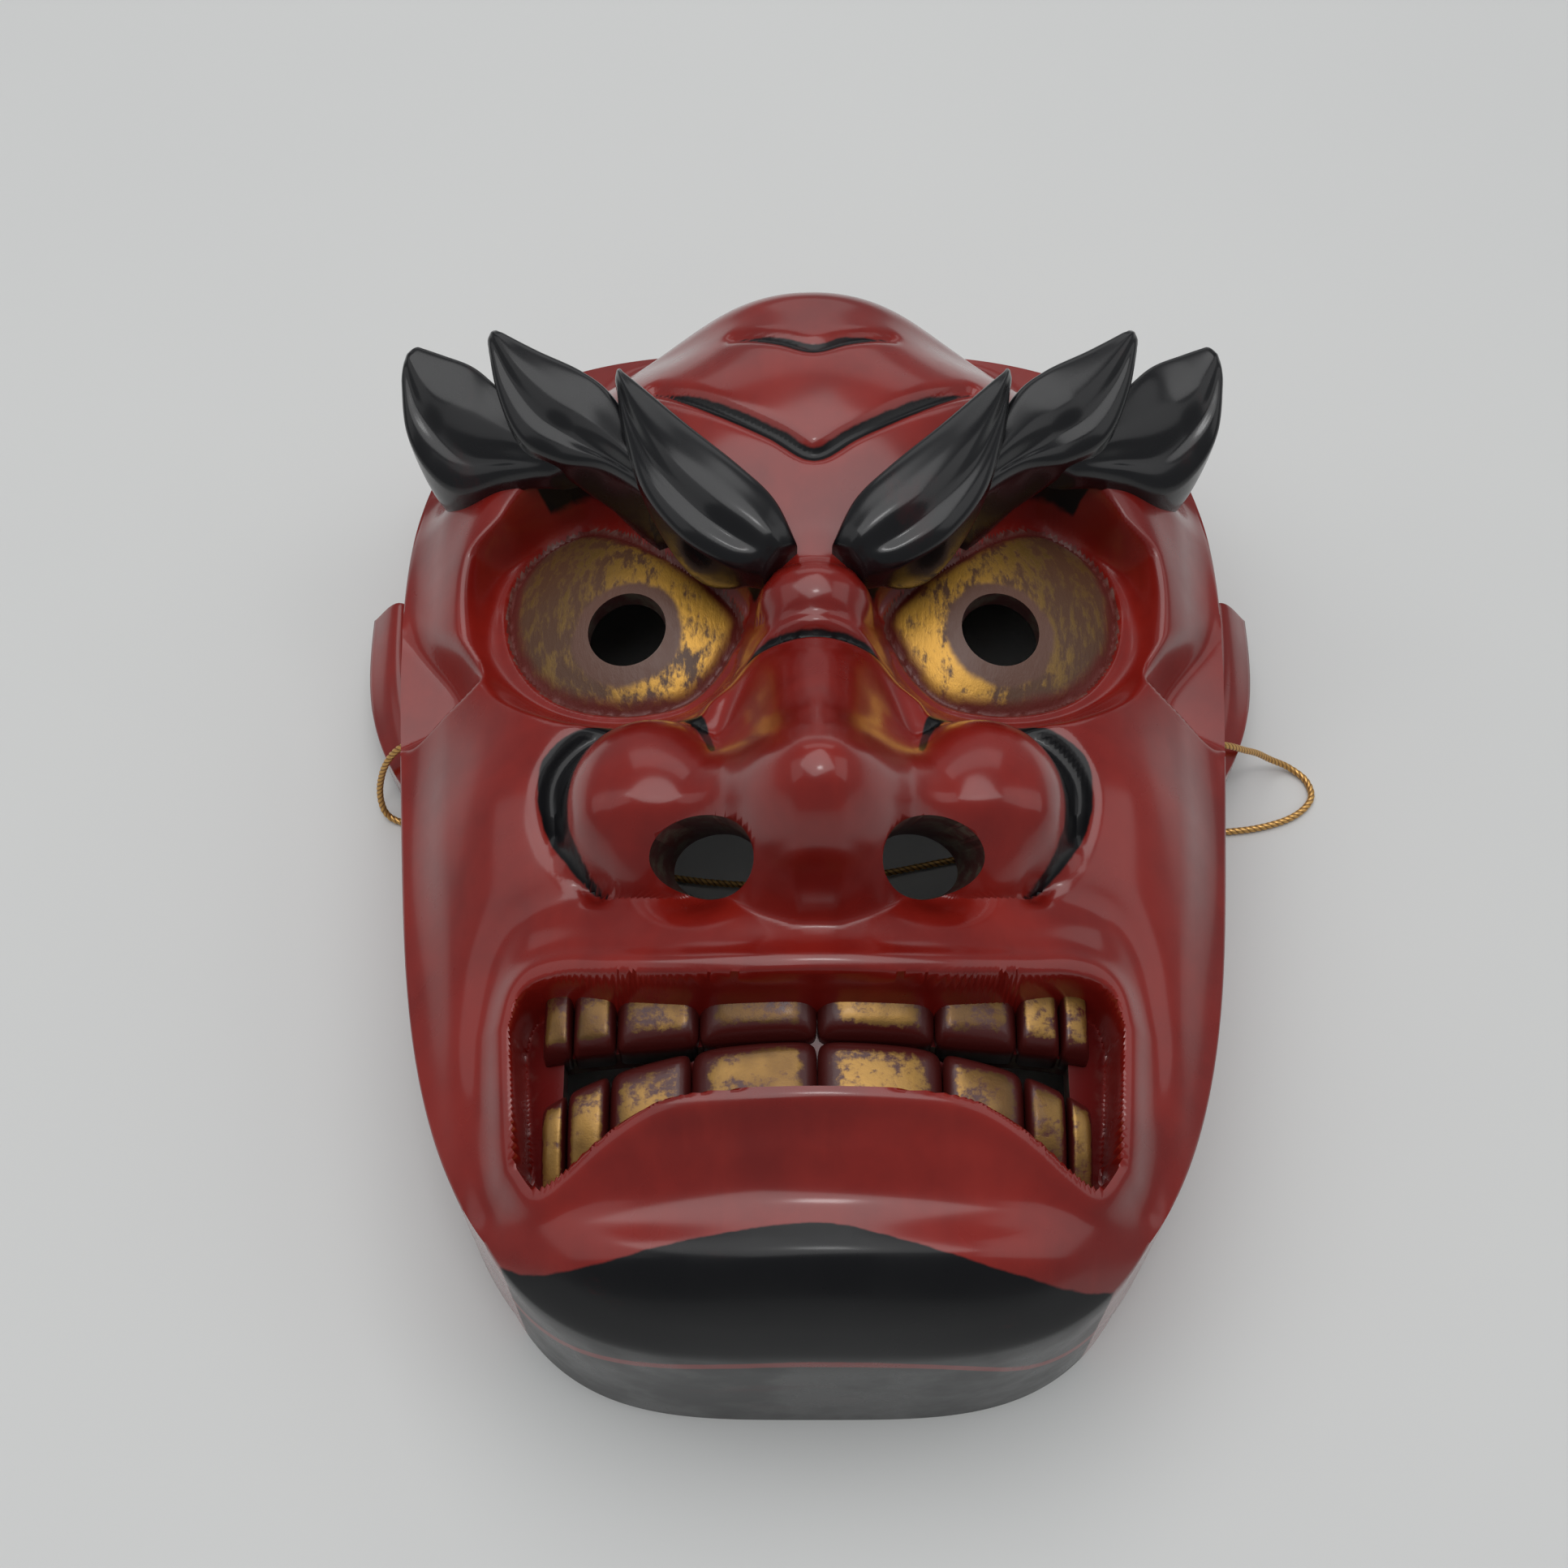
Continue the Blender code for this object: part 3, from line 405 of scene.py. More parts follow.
WING_RIDGE = smooth_path([(4, -38, 110), (12, -35.5, 104), (19, -31, 96), (26, -29, 91.5), (34, -28, 90),
                          (40, -28, 87)])
# Each line with its depth and half its width
CUT_LINES = ((BROW_FOLD, 2.2, 1.8), (CROWN_FOLD, 1.6, 1.7), (NOSE_FOLD, 2.2, 1.2), (WING_GROOVE, 3.2, 2.4),
             (LIP_GROOVE, 1.5, 4.2), (BRIDGE_CREASE, 0.8, 1.4))
# Middle and half sizes of the two eggs
WING_EGG = ((32, -22, 72), (17.5, 19, 17.5))
BRIDGE_EGG = ((0, 21.5, 79), (12, 8, 12.5))
# How slowly the ridge falls away above, below and past its end, and how round the nose is
RIDGE_FALLS = (26.0, 5.0, 7.0)
NOSE_ROUNDNESS = 0.78


def nose_arch(x, y):
    """Height of the nose: the foot plus a round arch whose top and breadth change along it."""
    top, half = through(y, NOSE_Y, NOSE_Z), through(y, NOSE_Y, NOSE_X)
    c = np.clip(np.abs(x) / half, 0, 1)
    arch = NOSE_FOOT + (top - NOSE_FOOT) * (1 - c * c) ** NOSE_ROUNDNESS
    within = (np.abs(x) < half) & (y > NOSE_Y[0]) & (y < NOSE_Y[-1])
    return np.where(within, arch, NOSE_FOOT - 20)


def egg(x, y, middle, radii):
    """Height of the upper half of an egg, and far below the face beside it."""
    far = ((x - middle[0]) / radii[0]) ** 2 + ((y - middle[1]) / radii[1]) ** 2
    return np.where(far < 1, middle[2] + radii[2] * np.sqrt(np.maximum(1 - far, 0)), 30)


def ridge(x, y, route):
    """Height of a ridge whose crest follows a route in space: a parabola across, steep on its lower
    side, and falling away past the end of the route."""
    above, below, beyond = RIDGE_FALLS
    crest_y, crest_z = (np.interp(x, route[:, 0], route[:, k]) for k in (1, 2))
    fall = y - crest_y
    past = np.maximum(x - route[-1, 0], 0)
    return crest_z - fall**2 / np.where(fall > 0, above, below) - past**2 / beyond


# %% The finished height of the face
def carved(x, y):
    """The skin with wings, nose, folds, grooves, lips, mouth and eyes, in that order."""
    side = np.abs(x)
    z = swell(skin(x, y), egg(side, y, *WING_EGG), 6.0)
    z = swell(z, ridge(side, y, WING_RIDGE), 6.0)
    z = swell(z, nose_arch(x, y), 10.0)
    z = swell(z, egg(x, y, *BRIDGE_EGG), 5.0)
    z -= 6.0 * bump(side - 23, 8.0) * bump(y + 40, 5.5)
    for line, depth, width in CUT_LINES:
        z -= depth * bump(path_distance(side, y, line), width)
    mouth = outside(x, y, MOUTH_LOOP)
    z += 1.4 * bump(mouth - 2.2, 2.6)
    floor = mouth_floor(x, y)
    z += (floor - z) * ease(0.0, 2.0, -mouth)
    eye = outside(side, y, EYE_LOOP)
    bulge = eyeball(x, y) - 0.9 * bump(eye + 1.2, 1.3)
    return np.where(eye < 0.6, bulge + (z - bulge) * ease(-1.5, 0.6, eye), z)


# %% Rows and columns, closer together where the carving is steep
def crowd(count, spots):
    """count + 1 steps from -1 to 1 whose density is 1 plus a bell at each (place, width, gain)."""
    t = np.linspace(-1, 1, 4001)
    density = 1 + sum(gain * bump(t - place, width) for place, width, gain in spots)
    run = np.concatenate([[0], np.cumsum((density[1:] + density[:-1]) / 2)])
    return np.interp(np.linspace(0, run[-1], count + 1), run, t)


def rim_plan(u, v):
    """Carry the square of u and v onto the plan: each square ring becomes a ring of equal rim norm."""
    x, y = u * half_width(v * HALF_LENGTH), v * HALF_LENGTH
    fit = np.maximum(np.abs(u), np.abs(v)) / np.maximum(rim_norm(x, y), 1e-9)
    return x * fit, y * fit


COLUMNS = crowd(268, [(s * p, w, g) for s in (-1, 1) for p, w, g in
                      ((1.0, 0.05, 2.0), (0.80, 0.05, 1.6), (0.71, 0.04, 0.8), (0.22, 0.08, 0.7))])
ROWS = crowd(312, [(-1.0, 0.04, 2.0), (1.0, 0.04, 2.0), (-0.385, 0.02, 4.0), (-0.50, 0.05, 1.0),
                   (-0.70, 0.06, 1.0), (0.085, 0.03, 0.8), (0.05, 0.05, 0.6), (0.45, 0.06, 0.4)])
u, v = np.meshgrid(COLUMNS, ROWS)
plan_x, plan_y = rim_plan(u, v)
top_points = np.stack([plan_x, plan_y, carved(plan_x, plan_y)], -1)
print("outer grid:", top_points.shape[:2], "highest point %.1f mm" % top_points[..., 2].max())

# %% [markdown]
# ## The hollow behind the face
# Every surface of the wood is cut parallel to the outside, one wall thickness in. The inner surface
# is the lowest of several shifted copies of the skin, as if a round cutter had run below it.


# %% The inner surface
def behind(x, y):
    """Height of the hollow: the least of the skin around each place, less the wall that is left there."""
    solid = skin(x, y)
    mouth = outside(x, y, MOUTH_LOOP) < 1
    z = np.where(mouth, np.minimum(solid, mouth_floor(x, y)), solid) - WALL
    for angle in np.arange(12) * math.tau / 12:
        for share in (0.5, 1.0):
            px, py = x + share * WALL * math.cos(angle), y + share * WALL * math.sin(angle)
            near = skin(px, py)
            near = np.where(outside(px, py, MOUTH_LOOP) < 1, np.minimum(near, mouth_floor(px, py)), near)
            z = np.minimum(z, near - WALL * math.sqrt(1 - share * share))
    return z


inner_columns, inner_rows = COLUMNS[::4], ROWS[::4]
iu, iv = np.meshgrid(inner_columns, inner_rows)
inner_x, inner_y = rim_plan(iu, iv)
reach = np.hypot(inner_x, inner_y) / np.maximum(rim_norm(inner_x, inner_y), 1e-9)
shrink = np.clip(1 - WALL / np.maximum(reach, 1e-6), 0, 1)
inner_x, inner_y = inner_x * shrink, inner_y * shrink
inner_points = np.stack([inner_x, inner_y, behind(inner_x, inner_y)], -1)
print("inner grid:", inner_points.shape[:2])


# %% Close the shell
def edge_ring(rows, columns):
    """Numbers of the points round the edge of a grid, and how far round the square each one is."""
    index = np.arange(len(rows) * len(columns)).reshape(len(rows), len(columns))
    ring = np.concatenate([index[0, :-1], index[:-1, -1], index[-1, :0:-1], index[:0:-1, 0]])
    place = np.concatenate([columns[:-1] + 1, rows[:-1] + 3, 5 - columns[:0:-1], 7 - rows[:0:-1]])
    return ring, place


def zipper(ring_a, place_a, ring_b, place_b):
    """Triangles between two closed rings: each step along one ring takes the last point of the other."""
    a, b = np.append(place_a, 8.0), np.append(place_b, 8.0)
    next_a, next_b = np.roll(ring_a, -1), np.roll(ring_b, -1)
    partner_b = ring_b[(np.searchsorted(b, a[1:], "left") - 1) % len(ring_b)]
    partner_a = np.append(ring_a, ring_a[0])[np.searchsorted(a, b[1:], "right") - 1]
    return np.vstack([np.stack([ring_a, next_a, partner_b], -1), np.stack([next_b, ring_b, partner_a], -1)])


def wall_levels(ring_points, floor, count):
    """Rings of points straight down from an edge to a floor, count of them, the last on the floor."""
    share = (np.arange(1, count + 1) / count)[:, None]
    x, y, z = (ring_points[:, k] for k in range(3))
    return np.stack([np.broadcast_to(x, (count, len(x))), np.broadcast_to(y, (count, len(x))),
                     z + (floor - z) * share], -1)


outer_ring, outer_place = edge_ring(ROWS, COLUMNS)
inner_ring, inner_place = edge_ring(inner_rows, inner_columns)
outer_count, inner_count = top_points[..., 0].size, inner_points[..., 0].size
OUTER_LEVELS, INNER_LEVELS = 5, 3
outer_wall = wall_levels(top_points.reshape(-1, 3)[outer_ring], 0.0, OUTER_LEVELS)
inner_wall = wall_levels(inner_points.reshape(-1, 3)[inner_ring], 0.0, INNER_LEVELS)
all_points = np.vstack([top_points.reshape(-1, 3), outer_wall.reshape(-1, 3),
                        inner_points.reshape(-1, 3), inner_wall.reshape(-1, 3)])


def wall_faces(ring, first_new, count):
    """Quads from an edge ring down through count rings of new points."""
    n = len(ring)
    levels = np.vstack([ring, first_new + np.arange(count * n).reshape(count, n)])
    following = np.roll(levels, -1, axis=1)
    return np.stack([levels[:-1], levels[1:], following[1:], following[:-1]], -1).reshape(-1, 4)


n_out, n_in = len(outer_ring), len(inner_ring)
inner_first = outer_count + OUTER_LEVELS * n_out
inner_wall_first = inner_first + inner_count
outer_foot = inner_first - n_out + np.arange(n_out)
inner_foot = inner_wall_first + (INNER_LEVELS - 1) * n_in + np.arange(n_in)
outer_faces = [grid_faces(len(ROWS), len(COLUMNS)), wall_faces(outer_ring, outer_count, OUTER_LEVELS)]
inner_faces = [grid_faces(len(inner_rows), len(inner_columns), inner_first)[:, ::-1],
               wall_faces(inner_ring + inner_first, inner_wall_first, INNER_LEVELS)[:, ::-1]]
rim_faces = [zipper(outer_foot, outer_place, inner_foot, inner_place)]
mask = new_piece("mask_carved", all_points / 1000, outer_faces + inner_faces + rim_faces)
turn_outwards(mask)
LACQUER, GOLD_EYE, BORE, INSIDE = range(4)


def mark_faces(piece, kind):
    """Give a piece one empty slot for each finish, and its faces the numbers of their finishes."""
    for _ in (LACQUER, GOLD_EYE, BORE, INSIDE):
        piece.data.materials.append(None)
    piece.data.polygons.foreach_set("material_index", kind.astype(np.int32))


kind = np.full(len(mask.data.polygons), INSIDE)
kind[:sum(len(part) for part in outer_faces)] = LACQUER
mark_faces(mask, kind)
print("closed shell faces:", len(mask.data.polygons))

# %% [markdown]
# ## Holes through the shell
# Eye holes, nostrils, the slots between the teeth, the cord's two holes and the low arches in the
# rim are cut in one exact Boolean by a set of straight tubes. Only the nostrils widen outwards like
# funnels. The cutter's faces carry the number of their own finish, so the walls of the holes are known
# afterwards and get the look of bare edges, darkened with painted shade.

# %% Sizes of the holes
EYE_HOLE_DIAMETER = 16.5
EYE_HOLE_PLACE = (39.0, 25.5)
EYE_HOLE_LEAN = 6.0
NOSTRIL_WIDTH = 17.0
NOSTRIL_HEIGHT = 12.5
NOSTRIL_FLARE = 1.45
NOSTRIL_ENDS = ((24, -44, 96), (14, -21, 45))
CORD_HOLE_DIAMETER = 4.6
CORD_HOLE_OUT = (92.0, 22.5, 25.6)
CORD_HOLE_IN = (70.0, 22.5, 20.4)
RIM_LIFT = 3.4
RIM_LIFT_LENGTH = 36.0
UPPER_TIP = -66.4
SLOT_HEIGHT = 4.6
# Where the straight cutters start and end, well clear of the shell
EYE_CUT, SLOT_CUT, RIM_CUT = (100.0, 20.0), (30.0, 90.0), (70.0, 120.0)


# %% Cutters
def tunnel(start, end, half, around=56, flare=1.0):
    """A straight oval tube between two places: a circle scaled by half sizes, across its line. With a
    flare it opens like a funnel towards its start."""
    a, b = np.array(start, float), np.array(end, float)
    run = (b - a) / np.linalg.norm(b - a)
    side = np.cross(run, (0, 1, 0))
    side /= np.linalg.norm(side)
    up = np.cross(side, run)
    angle = np.arange(around) * math.tau / around
    ring = np.cos(angle)[:, None] * half[0] * side + np.sin(angle)[:, None] * half[1] * up
    return np.vstack([a + flare * ring, a + 0.5 * (b - a) + ring, b + ring]), capped(3, around)


def tooth_slot(mirror):
    """The slot between the rows of teeth: level above, and widening below towards the corner."""
    side = np.linspace(19, 48.5, 16)
    height = SLOT_HEIGHT * ease(17, 34, side) + 7.0 * (np.maximum(side - 30, 0) / 20) ** 2
    start = np.full(16, UPPER_TIP + 0.5)
    end = UPPER_TIP - 0.6 - height
    low, high = SLOT_CUT
    corners = [(start, low), (end, low), (end, high), (start, high)]
    points = np.stack([np.stack([mirror * side, y, np.full(16, z)], -1) for y, z in corners], 1)
    return points.reshape(-1, 3), capped(16, 4)


def rim_arch(mirror):
    """A long low arch across the rim: half an ellipse, its ends eased."""
    angle = np.linspace(0, math.pi, 25)
    y = CORD_HOLE_IN[1] - 8.0 + RIM_LIFT_LENGTH / 2 * np.cos(angle)
    z = RIM_LIFT * np.sin(angle) ** 0.8
    y, z = np.concatenate([y[:1], y, y[-1:]]), np.concatenate([[-4.0], z, [-4.0]])
    points = np.stack([np.stack([np.full(27, mirror * x), y, z], -1) for x in RIM_CUT])
    return points.reshape(-1, 3), capped(2, 27)


cutters = []
for mirror in (-1, 1):
    turned = np.array((mirror, 1, 1))
    x, y = EYE_HOLE_PLACE
    sight = (EYE_HOLE_DIAMETER / 2,) * 2
    cutters.append(tunnel((x, y - EYE_HOLE_LEAN, EYE_CUT[0]) * turned,
                          (x, y + EYE_HOLE_LEAN, EYE_CUT[1]) * turned, sight))
    cutters.append(tunnel(NOSTRIL_ENDS[0] * turned, NOSTRIL_ENDS[1] * turned,
                          (NOSTRIL_WIDTH / 2, NOSTRIL_HEIGHT / 2), flare=NOSTRIL_FLARE))
    cutters.append(tunnel(CORD_HOLE_OUT * turned, CORD_HOLE_IN * turned, (CORD_HOLE_DIAMETER / 2,) * 2, 24))
    cutters.append(tooth_slot(mirror))
    cutters.append(rim_arch(mirror))
points, faces = join_arrays(cutters)
cutter = new_piece("hole_cutter", points / 1000, faces)
turn_outwards(cutter)
mark_faces(cutter, np.full(len(cutter.data.polygons), BORE))


# %% Cut the holes
def cut_with(piece, tool):
    """Apply one exact Boolean difference and drop the tool."""
    step = piece.modifiers.new("holes", "BOOLEAN")
    step.operation = "DIFFERENCE"
    step.solver = "EXACT"
    step.object = tool
    graph = bpy.context.evaluated_depsgraph_get()
    result = bpy.data.meshes.new_from_object(piece.evaluated_get(graph))
    piece.modifiers.clear()
    old, piece.data = piece.data, result
    bpy.data.meshes.remove(old)
    bpy.data.objects.remove(tool, do_unlink=True)


cut_with(mask, cutter)
print("faces after the holes:", len(mask.data.polygons))

# %% [markdown]
# ## Brow locks
# Three flame-shaped locks make each eyebrow. Each is a loft between an upper and a lower edge line:
# its root is sunk in the brow and its tip stands free. A shallow dip runs along the crest, and it
# catches the light as one long line.

# %% Brow locks
BROW_LOCKS = (
    (((3.5, 31, 88), (8, 39, 92), (15, 46, 94), (26, 57, 94), (36, 69, 92), (41.5, 76, 90)),
     ((10, 25, 85), (18, 26.5, 87), (27, 32, 89), (35, 43, 90), (39.5, 58, 90), (42, 74, 90))),
    (((27, 43, 84), (34, 55, 86), (42, 70, 87), (49, 76.5, 88), (59, 82.5, 88), (69, 89, 88)),
     ((34, 45, 84), (44, 54, 82), (54, 58.5, 80), (62.5, 64, 81), (67.5, 74, 84), (70.5, 87, 87))),
    (((47, 58, 78), (59, 70, 79), (68, 79, 80), (74, 85, 80), (81, 88.5, 80), (88, 91.5, 80)),
     ((56, 58, 75), (67, 60.5, 70), (77, 61.5, 65.5), (84, 66, 67), (89, 74, 72), (90.5, 87, 78))),
)
LEAST_HALF_BREADTH = 2.2
LOCK_SUNK = 4.6


def brow_lock(number, mirror, parts=18, loop=96):
    """A loft: from the middle line, half the breadth times the cosine, and a rise that is a flattened
    sine above. A main roll runs down the middle, a valley beside it and a small second roll by the
    lower edge. Root and tip are rounded off, and below, the lock reaches down to its sunk root."""
    upper, lower = (smooth_path(edge, parts) for edge in BROW_LOCKS[number])
    t = np.linspace(0, 1, len(upper))
    middle, half = (upper + lower) / 2, (upper - lower) / 2
    angle = np.arange(loop) * math.tau / loop
    c, s = np.cos(angle)[None], np.sin(angle)[None]
    end = np.sqrt(np.clip(1 - (1 - np.minimum(t / 0.10, 1)) ** 2, 0, 1))[:, None]
    blunt = np.sqrt(np.clip(1 - (np.maximum(t - 0.95, 0) / 0.05) ** 2, 0, 1))[:, None]
    breadth = np.linalg.norm(half, axis=1)[:, None]
    half = half * np.maximum(1, LEAST_HALF_BREADTH / np.maximum(breadth, 0.5)) * blunt
    crest = (4.2 - 2.4 * t[:, None] ** 2) * (0.25 + 0.75 * end) * blunt
    valley = (ease(0.05, 0.25, t) * ease(1.0, 0.8, t))[:, None]
    roll = 1 + 0.22 * bump(c - 0.08, 0.36) - 0.34 * bump(c + 0.42, 0.20) * valley
    rise = crest * np.abs(s) ** 0.75 * roll
    sunk = middle[:, 2] - np.maximum(skin(middle[:, 0], middle[:, 1]) - LOCK_SUNK, 0)
    free = ease(0.45, 0.8, t)
    deep = (sunk * (1 - free) + (LOCK_SUNK - 2.2 * t) * free)[:, None]
    if number == 2:
        deep = np.minimum(deep, 4.0 + 30 * ease(0.1, 0.4, t)[:, None])
    rise = np.where(s >= 0, rise, -deep * blunt * np.abs(s) ** 0.6)
    points = middle[:, None] + half[:, None] * c[..., None] + rise[..., None] * (0, 0, 1)
    return points * (mirror, 1, 1)


locks = []
for side_name, mirror in SIDES:
    for number in range(3):
        points = brow_lock(number, mirror)
        lock = new_piece(f"brow_lock_{side_name}_{number + 1}", points.reshape(-1, 3) / 1000,
                         capped(*points.shape[:2]))
        turn_outwards(lock)
        locks.append(lock)
print("brow locks:", len(locks))

# %% [markdown]
# ## Ears
# The ears are flat-topped slabs that flare out of the temples. Two flutes run down each of them and
# fade towards the lobe.

# %% Ears
EAR_REACH, EAR_TOP, EAR_LENGTH, EAR_FALL = 105.5, 65.0, 51.0, 17.0


def ear(mirror, rows=48, columns=48):
    """Height across the ear: a slope outwards, with flutes that are a smooth curve across and fade
    downwards; its outer edge draws in with the cube of the way down."""
    down = np.linspace(0, 1, rows)[:, None]
    across = np.linspace(0, 1, columns)[None]
    outer = EAR_REACH - down - 13.0 * down**3
    x = WAIST_SIDE + (outer - WAIST_SIDE) * across
    flutes = through(across, (0, 0.2, 0.4, 0.6, 0.8, 1.0), (0, 0, 3.0, -3.5, 2.6, -1.5))
    z = WAIST_FLOOR - 2.0 - 3 * down - (EAR_FALL - 4 * down) * across + flutes * (1 - down)
    y = EAR_TOP - EAR_LENGTH * down + 0 * across
    under = np.stack([x[:, ::-1], y[:, ::-1], 4.0 + 2.0 * across[:, ::-1] + 0 * down], -1)
    points = np.concatenate([np.stack([x, y, z], -1), under], 1)
    return points * (mirror, 1, 1)


ears = []
for side_name, mirror in SIDES:
    points = ear(mirror)
    piece = new_piece(f"ear_{side_name}", points.reshape(-1, 3) / 1000, capped(*points.shape[:2]))
    turn_outwards(piece)
    rounding = piece.modifiers.new("softened edges", "BEVEL")
    rounding.width = 0.0009
    rounding.segments = 3
    rounding.limit_method = "ANGLE"
    rounding.angle_limit = math.radians(50)
    ears.append(piece)

# %% [markdown]
# ## Teeth
# Broad teeth stand in two rows on the floor of the mouth. Each one is a rounded block: a grid over
# its front whose height falls away at the edges like a high power of the distance from its middle.

# %% Teeth
UPPER_TEETH = ((0.05, 22.1), (22.3, 38.0), (38.2, 46.5), (46.7, 52.5))
LOWER_TEETH = ((0.05, 23.4), (23.6, 38.9), (39.1, 47.0), (47.2, 52.0))
UPPER_ROOT, LOWER_ROOT = -53.0, -85.0
UPPER_EDGE, LOWER_EDGE = -66.8, -67.2
TOOTH_HEIGHT = 6.6


def tooth(span, upper, mirror, count=22):
    """Rounded block: u and v from -1 to 1 are drawn in to a squarish ring, and the front falls away
    with the eighth power of the distance from its middle; its foot is sunk in the mouth's floor."""
    step = np.sin(np.linspace(-1, 1, count) * math.pi / 2)
    u, v = np.meshgrid(step, step)
    ring = np.maximum(np.abs(u), np.abs(v))
    fit = ring / np.maximum((np.abs(u) ** 9 + np.abs(v) ** 9) ** (1 / 9), 1e-9)
    pu, pv = u * fit, v * fit
    x = (span[0] + span[1]) / 2 + pu * (span[1] - span[0]) / 2
    if upper:
        tip, root = UPPER_EDGE + 0 * x, UPPER_ROOT + 0 * x
    else:
        tip, root = LOWER_EDGE - 8.0 * (x / 50) ** 3, LOWER_ROOT - 10.0 * (x / 52) ** 2
    y = (tip + root) / 2 + pv * (root - tip) / 2
    front = mouth_floor(x, y) + TOOTH_HEIGHT * (1 - 0.55 * ring**8)
    front += 0.5 * (1 - pu**2) * (1 - pv**2)
    top = np.stack([x, y, front], -1)
    index, _ = edge_ring(step, step)
    foot = top.reshape(-1, 3)[index].copy()
    foot[:, 2] = mouth_floor(foot[:, 0], foot[:, 1]) - 3.0
    quads = [grid_faces(count, count), wall_faces(index, count * count, 1),
             (count * count + np.arange(len(index)))[None]]
    shade = np.concatenate([ring.ravel(), np.ones(len(index))])
    return np.vstack([top.reshape(-1, 3), foot]) * (mirror, 1, 1), quads, shade


tooth_rows = []
for name, spans, upper in (("teeth_upper", UPPER_TEETH, True), ("teeth_lower", LOWER_TEETH, False)):
    made = [tooth(span, upper, mirror) for mirror in (-1, 1) for span in spans]
    points, faces = join_arrays([(p, q) for p, q, _ in made])
    row = new_piece(name, points / 1000, faces)
    set_attribute(row.data, "edge", np.concatenate([shade for _, _, shade in made]))
    turn_outwards(row)
    tooth_rows.append(row)
print("teeth:", 2 * (len(UPPER_TEETH) + len(LOWER_TEETH)))

# %% [markdown]
# ## Where the paint goes
# Each painted zone is a signed distance in millimetres, stored on the points of the mask: negative
# inside the paint. The black zone also holds painted shade in the band under the brow locks. The
# material turns it into an edge, and shifts it with noise, so that the brush line wavers like a real
# one. Which face is lacquer, gold, hole wall or inside is read back from the numbers that came through
# the cut, and the front of the eyes turns to gold.

# %% Outlines of the paint
CRESCENT = smooth_path([(19.4, -17), (20.6, -9), (22.5, -2), (27, 1.5), (34, 1.5), (42, -0.5), (50, -4.5),
                        (54.2, -9.8), (54.8, -16.5), (53.6, -23), (50.2, -30.3), (45.6, -35.6), (39, -40.5),
                        (43.6, -35.4), (46.6, -30.4), (47.8, -25.6), (47.5, -20.5), (46, -15), (43, -9),
                        (38, -4), (31, -2.2), (26, -3.2), (23, -8), (20.4, -17)], 4, closed=True)
BEARD_EDGE = smooth_path([(-74, -96), (-65, -101), (-53, -107), (-39, -107.5), (-20, -104.5), (0, -102.5),
                          (13, -105), (31, -109), (47, -110.5), (60, -107), (74, -98)])
CHIN_LINE_X = (-80, -50, -33, -1, 26, 43, 80)
CHIN_LINE_Z = (12, 29.5, 37.5, 44.0, 39, 25, 8)
GOLD_PATCH = smooth_path([(14.4, 15), (9.6, 9.5), (12.5, 4.5), (17.5, 1.8), (25, 6.5), (21, 9.5), (17.5, 13)],
                         4, closed=True)
LOCK_FOOT = smooth_path([(9, 28), (17, 30), (29, 40), (41, 51), (50, 57), (60, 61), (70, 63), (80, 66),
                         (84, 74), (72, 79), (60, 74), (47, 67), (36, 57), (26, 45), (18, 38), (10, 34)],
                        3, closed=True)
# Clear of the eye's edge by this much, the black painted shade under the locks stops
LOCK_FOOT_MARGIN = 2.2
# Each painted fold with half its width, where out from the middle it ends and is full, and its least
BLACK_LINES = ((BROW_FOLD, 1.5, 36, 20, 0.1), (CROWN_FOLD, 1.3, 19, 6, 0.0), (NOSE_FOLD, 1.0, 20, 10, 0.0))

# %% Paint distances
count = len(mask.data.vertices)
place = np.empty(count * 3)
mask.data.vertices.foreach_get("co", place)
px, py, pz = (place.reshape(-1, 3) * 1000).T
side = np.abs(px)
mouth_gap = outside(px, py, MOUTH_LOOP)
eye_gap = outside(side, py, EYE_LOOP)
# Black painted shade in the band under the brow locks, stopped short of the eye's edge
shade_under_locks = np.maximum(outside(side, py, LOCK_FOOT), LOCK_FOOT_MARGIN - eye_gap)
black = np.minimum(outside(side, py, CRESCENT), shade_under_locks)
for line, half, end, full, least in BLACK_LINES:
    black = np.minimum(black, path_distance(px, py, line) - half * ease(end, full, side) - least)
beard = (py - np.interp(px, BEARD_EDGE[:, 0], BEARD_EDGE[:, 1])) * 0.9
beard = np.where((pz < 60) & (side > 55), np.maximum(beard, pz - 60), beard)
chin_line = pz - through(px, CHIN_LINE_X, CHIN_LINE_Z) + 60 * ease(-100, -92, py)
pupil = np.hypot(side - EYE_HOLE_PLACE[0], py - EYE_HOLE_PLACE[1] + 2)
dust = bump(eye_gap + 0.3, 0.5) * 0.8 + bump(mouth_gap + 3.2, 0.8) * 0.4
# Each field with its least and its largest value
FIELDS = {"black": (np.minimum(black, beard), -20, 20), "mouth_gap": (mouth_gap, -20, 20),
          "eye_gap": (eye_gap, -30, 30), "gold_patch": (outside(side, py, GOLD_PATCH), -20, 20),
          "chin_line": (chin_line, -300, 300), "pupil": (pupil, 0, 60),
          "eye_side": ((side - 15) / 50, -1, 2), "dust": (dust, 0, 1)}
for name, (values, least, most) in FIELDS.items():
    set_attribute(mask.data, name, np.clip(values, least, most))
print("paint fields on", count, "points")

# %% Which face has which finish
faces_count = len(mask.data.polygons)
middle = np.empty(faces_count * 3)
mask.data.polygons.foreach_get("center", middle)
fx, fy, fz = (middle.reshape(-1, 3) * 1000).T
finish = np.empty(faces_count, np.int32)
mask.data.polygons.foreach_get("material_index", finish)
finish[(finish == LACQUER) & (outside(np.abs(fx), fy, EYE_LOOP) < -0.4) & (fz > 40)] = GOLD_EYE
print("faces of each finish:", np.bincount(finish, minlength=4))

